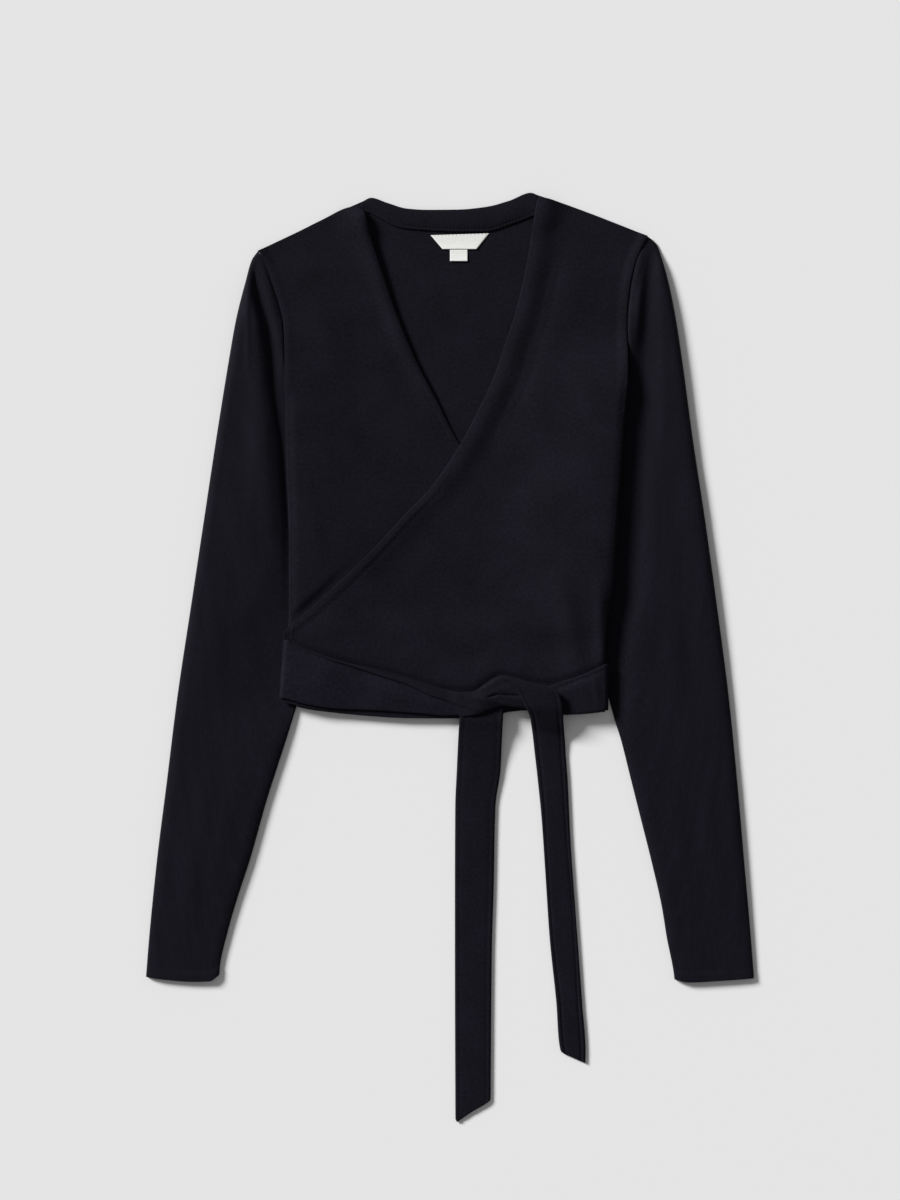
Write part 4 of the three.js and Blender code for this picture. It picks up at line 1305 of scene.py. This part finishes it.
SEWING = stitch_tree()
INPUTS = {
    item.name: item.identifier for item in SEWING.interface.items_tree
    if item.item_type == "SOCKET" and item.in_out == "INPUT"
}
ABOVE_ALL = 0.1


def lay_on(piece, places):
    """Points on the top of a piece, below places given in millimetres."""
    found = []
    for a, b in places:
        hit, spot, _, _ = piece.ray_cast(Vector((a * MM, b * MM, ABOVE_ALL)), Vector((0, 0, -1)))
        if hit:
            found.append((spot.x, spot.y, spot.z))
    return found


def sew(name, rows, material, pitch=3.1, length=2.3, width=0.55):
    """Stitches along rows of points, as one plain mesh."""
    points = []
    edges = []
    for row in rows:
        first = len(points)
        points.extend(row)
        edges.extend((place, place + 1) for place in range(first, len(points) - 1))
    lines = bpy.data.meshes.new(f"{name}_lines")
    lines.from_pydata(points, edges, [])
    maker = put(f"{name}_lines", lines)
    modifier = maker.modifiers.new("stitches", "NODES")
    modifier.node_group = SEWING
    modifier[INPUTS["Pitch"]] = pitch * MM
    modifier[INPUTS["Stitch Length"]] = length * MM
    modifier[INPUTS["Thread Width"]] = width * MM
    modifier[INPUTS["Thread"]] = material
    evaluated = maker.evaluated_get(bpy.context.evaluated_depsgraph_get())
    mesh = bpy.data.meshes.new_from_object(evaluated)
    maker.modifiers.remove(modifier)
    bpy.data.objects.remove(maker)
    mesh.name = name
    stitches = put(name, mesh)
    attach(stitches, "root")
    print(name, "faces", len(mesh.polygons))
    return stitches


# %% [markdown]
# The rows follow what was measured on the cloth: one beside the free edge of each front, two on
# the neckband, one on each cuff, a tack at the corner where the tie is sewn on, and a white row
# at the top of the label.

# %% Rows of stitches
UNDER_STITCHES = 5.5
BAND_STITCHES = (1.3, 3.9)
CUFF_STITCHES = {"from_fold": 5, "from_edge": 9}
LABEL_ROW = {"start": -14, "end": 31, "height": 371.0, "slope": 0.031}
TACK = {"x": -139.6, "low": 16.5, "high": 27.5, "width": 2.2, "turns": 15}


def beside(edge, y, offset):
    """Places at a distance from an edge, square to it."""
    slope = (edge(y + 2) - edge(y - 2)) / 4
    size = np.sqrt(1 + slope * slope)
    return np.stack([edge(y) + offset / size, y - offset * slope / size], axis=-1)


def even(places, count):
    """The same line with evenly spaced points."""
    travel = np.concatenate([[0], np.cumsum(np.hypot(*np.diff(places, axis=0).T))])
    spots = np.linspace(0, travel[-1], count)
    return np.stack([np.interp(spots, travel, places[:, axis]) for axis in (0, 1)], axis=-1)


def row_above(line, start, end, count, up):
    """Places above a line that is given as y at each x."""
    x = np.linspace(start, end, count)
    return np.stack([x, line(x) + up], axis=-1)


def label_line(x):
    return LABEL_ROW["height"] + LABEL_ROW["slope"] * (x - LABEL_ROW["start"])


rows = [
    lay_on(front_over, even(beside(over_edge, np.linspace(36, 178, 200), HEM_WIDTH), 160)),
    lay_on(front_under, even(beside(under_edge, np.linspace(196, 262, 90), -UNDER_STITCHES), 60)),
]
rows += [lay_on(neckband, row_above(line_of(BAND_LOW), -66, 69, 120, up)) for up in BAND_STITCHES]
for which, sizes in SLEEVES.items():
    start = sizes["cuff"][0][0] + CUFF_STITCHES["from_fold"]
    end = sizes["cuff"][-1][0] - CUFF_STITCHES["from_fold"]
    cuff_row = row_above(line_of(sizes["cuff"]), start, end, 60, CUFF_STITCHES["from_edge"])
    rows.append(lay_on(bpy.data.objects[f"sleeve_{which}_cloth"], cuff_row))
sew("navy_stitches", rows, navy_thread)
tack_y = np.linspace(TACK["low"], TACK["high"], TACK["turns"])
tack_x = TACK["x"] + TACK["width"] * (np.arange(TACK["turns"]) % 2)
tack_row = lay_on(front_over, np.stack([tack_x, tack_y], axis=-1))
sew("corner_tack", [tack_row], navy_thread, pitch=0.7, length=1.1, width=0.7)
label_row = lay_on(label, row_above(label_line, LABEL_ROW["start"], LABEL_ROW["end"], 40, 0.0))
sew("label_stitches", [label_row], white_thread)

# %% [markdown]
# The floor, light and camera follow the photograph: a pale plain surface, one broad soft light
# from the upper left, a weaker one all round, and a camera straight above with a long lens. A sun
# gives the same light and the same soft shadows all over the garment, as a distant window does.

# %% Floor, light and camera
FLOOR_SIZE = 8.0
FLOOR_HEIGHT = -0.0004
FLOOR_TONE = 0.79
SUN_HEIGHT = math.radians(26)
SUN_SIDE = math.radians(145)
SUN_SPREAD = math.radians(17)
SUN_STRENGTH = 5.3
ROOM_STRENGTH = 0.24
PHOTO_CENTRE = 50.6
FRAME_HEIGHT = 1056
LENS = 100
SENSOR = 36

corners = [(a * FLOOR_SIZE, b * FLOOR_SIZE, FLOOR_HEIGHT) for a, b in ((-1, -1), (1, -1), (1, 1), (-1, 1))]
floor_mesh = bpy.data.meshes.new("floor")
floor_mesh.from_pydata(corners, [], [(0, 1, 2, 3)])
floor_paint = {"Base Color": (FLOOR_TONE, FLOOR_TONE, FLOOR_TONE, 1), "Roughness": 0.9}
floor_mesh.materials.append(new_material("pale_floor", floor_paint)[0])
floor = put("floor", floor_mesh)

sun_data = bpy.data.lights.new("window", "SUN")
sun_data.energy = SUN_STRENGTH
sun_data.angle = SUN_SPREAD
level = math.cos(SUN_HEIGHT)
toward = Vector((level * math.cos(SUN_SIDE), level * math.sin(SUN_SIDE), math.sin(SUN_HEIGHT)))
put("window", sun_data).rotation_euler = toward.to_track_quat("Z", "Y").to_euler()
world = bpy.data.worlds.new("room")
world.use_nodes = True
world.node_tree.nodes["Background"].inputs["Color"].default_value = (1.0, 1.0, 1.0, 1)
world.node_tree.nodes["Background"].inputs["Strength"].default_value = ROOM_STRENGTH
bpy.context.scene.world = world
bpy.context.scene.view_settings.view_transform = "Standard"

camera_data = bpy.data.cameras.new("camera")
camera_data.lens = LENS
camera_data.sensor_width = SENSOR
camera = put("camera", camera_data)
camera.location = (0, PHOTO_CENTRE * MM, FRAME_HEIGHT * MM * LENS / SENSOR)
bpy.context.scene.camera = camera
print("camera height, m:", round(camera.location.z, 3))
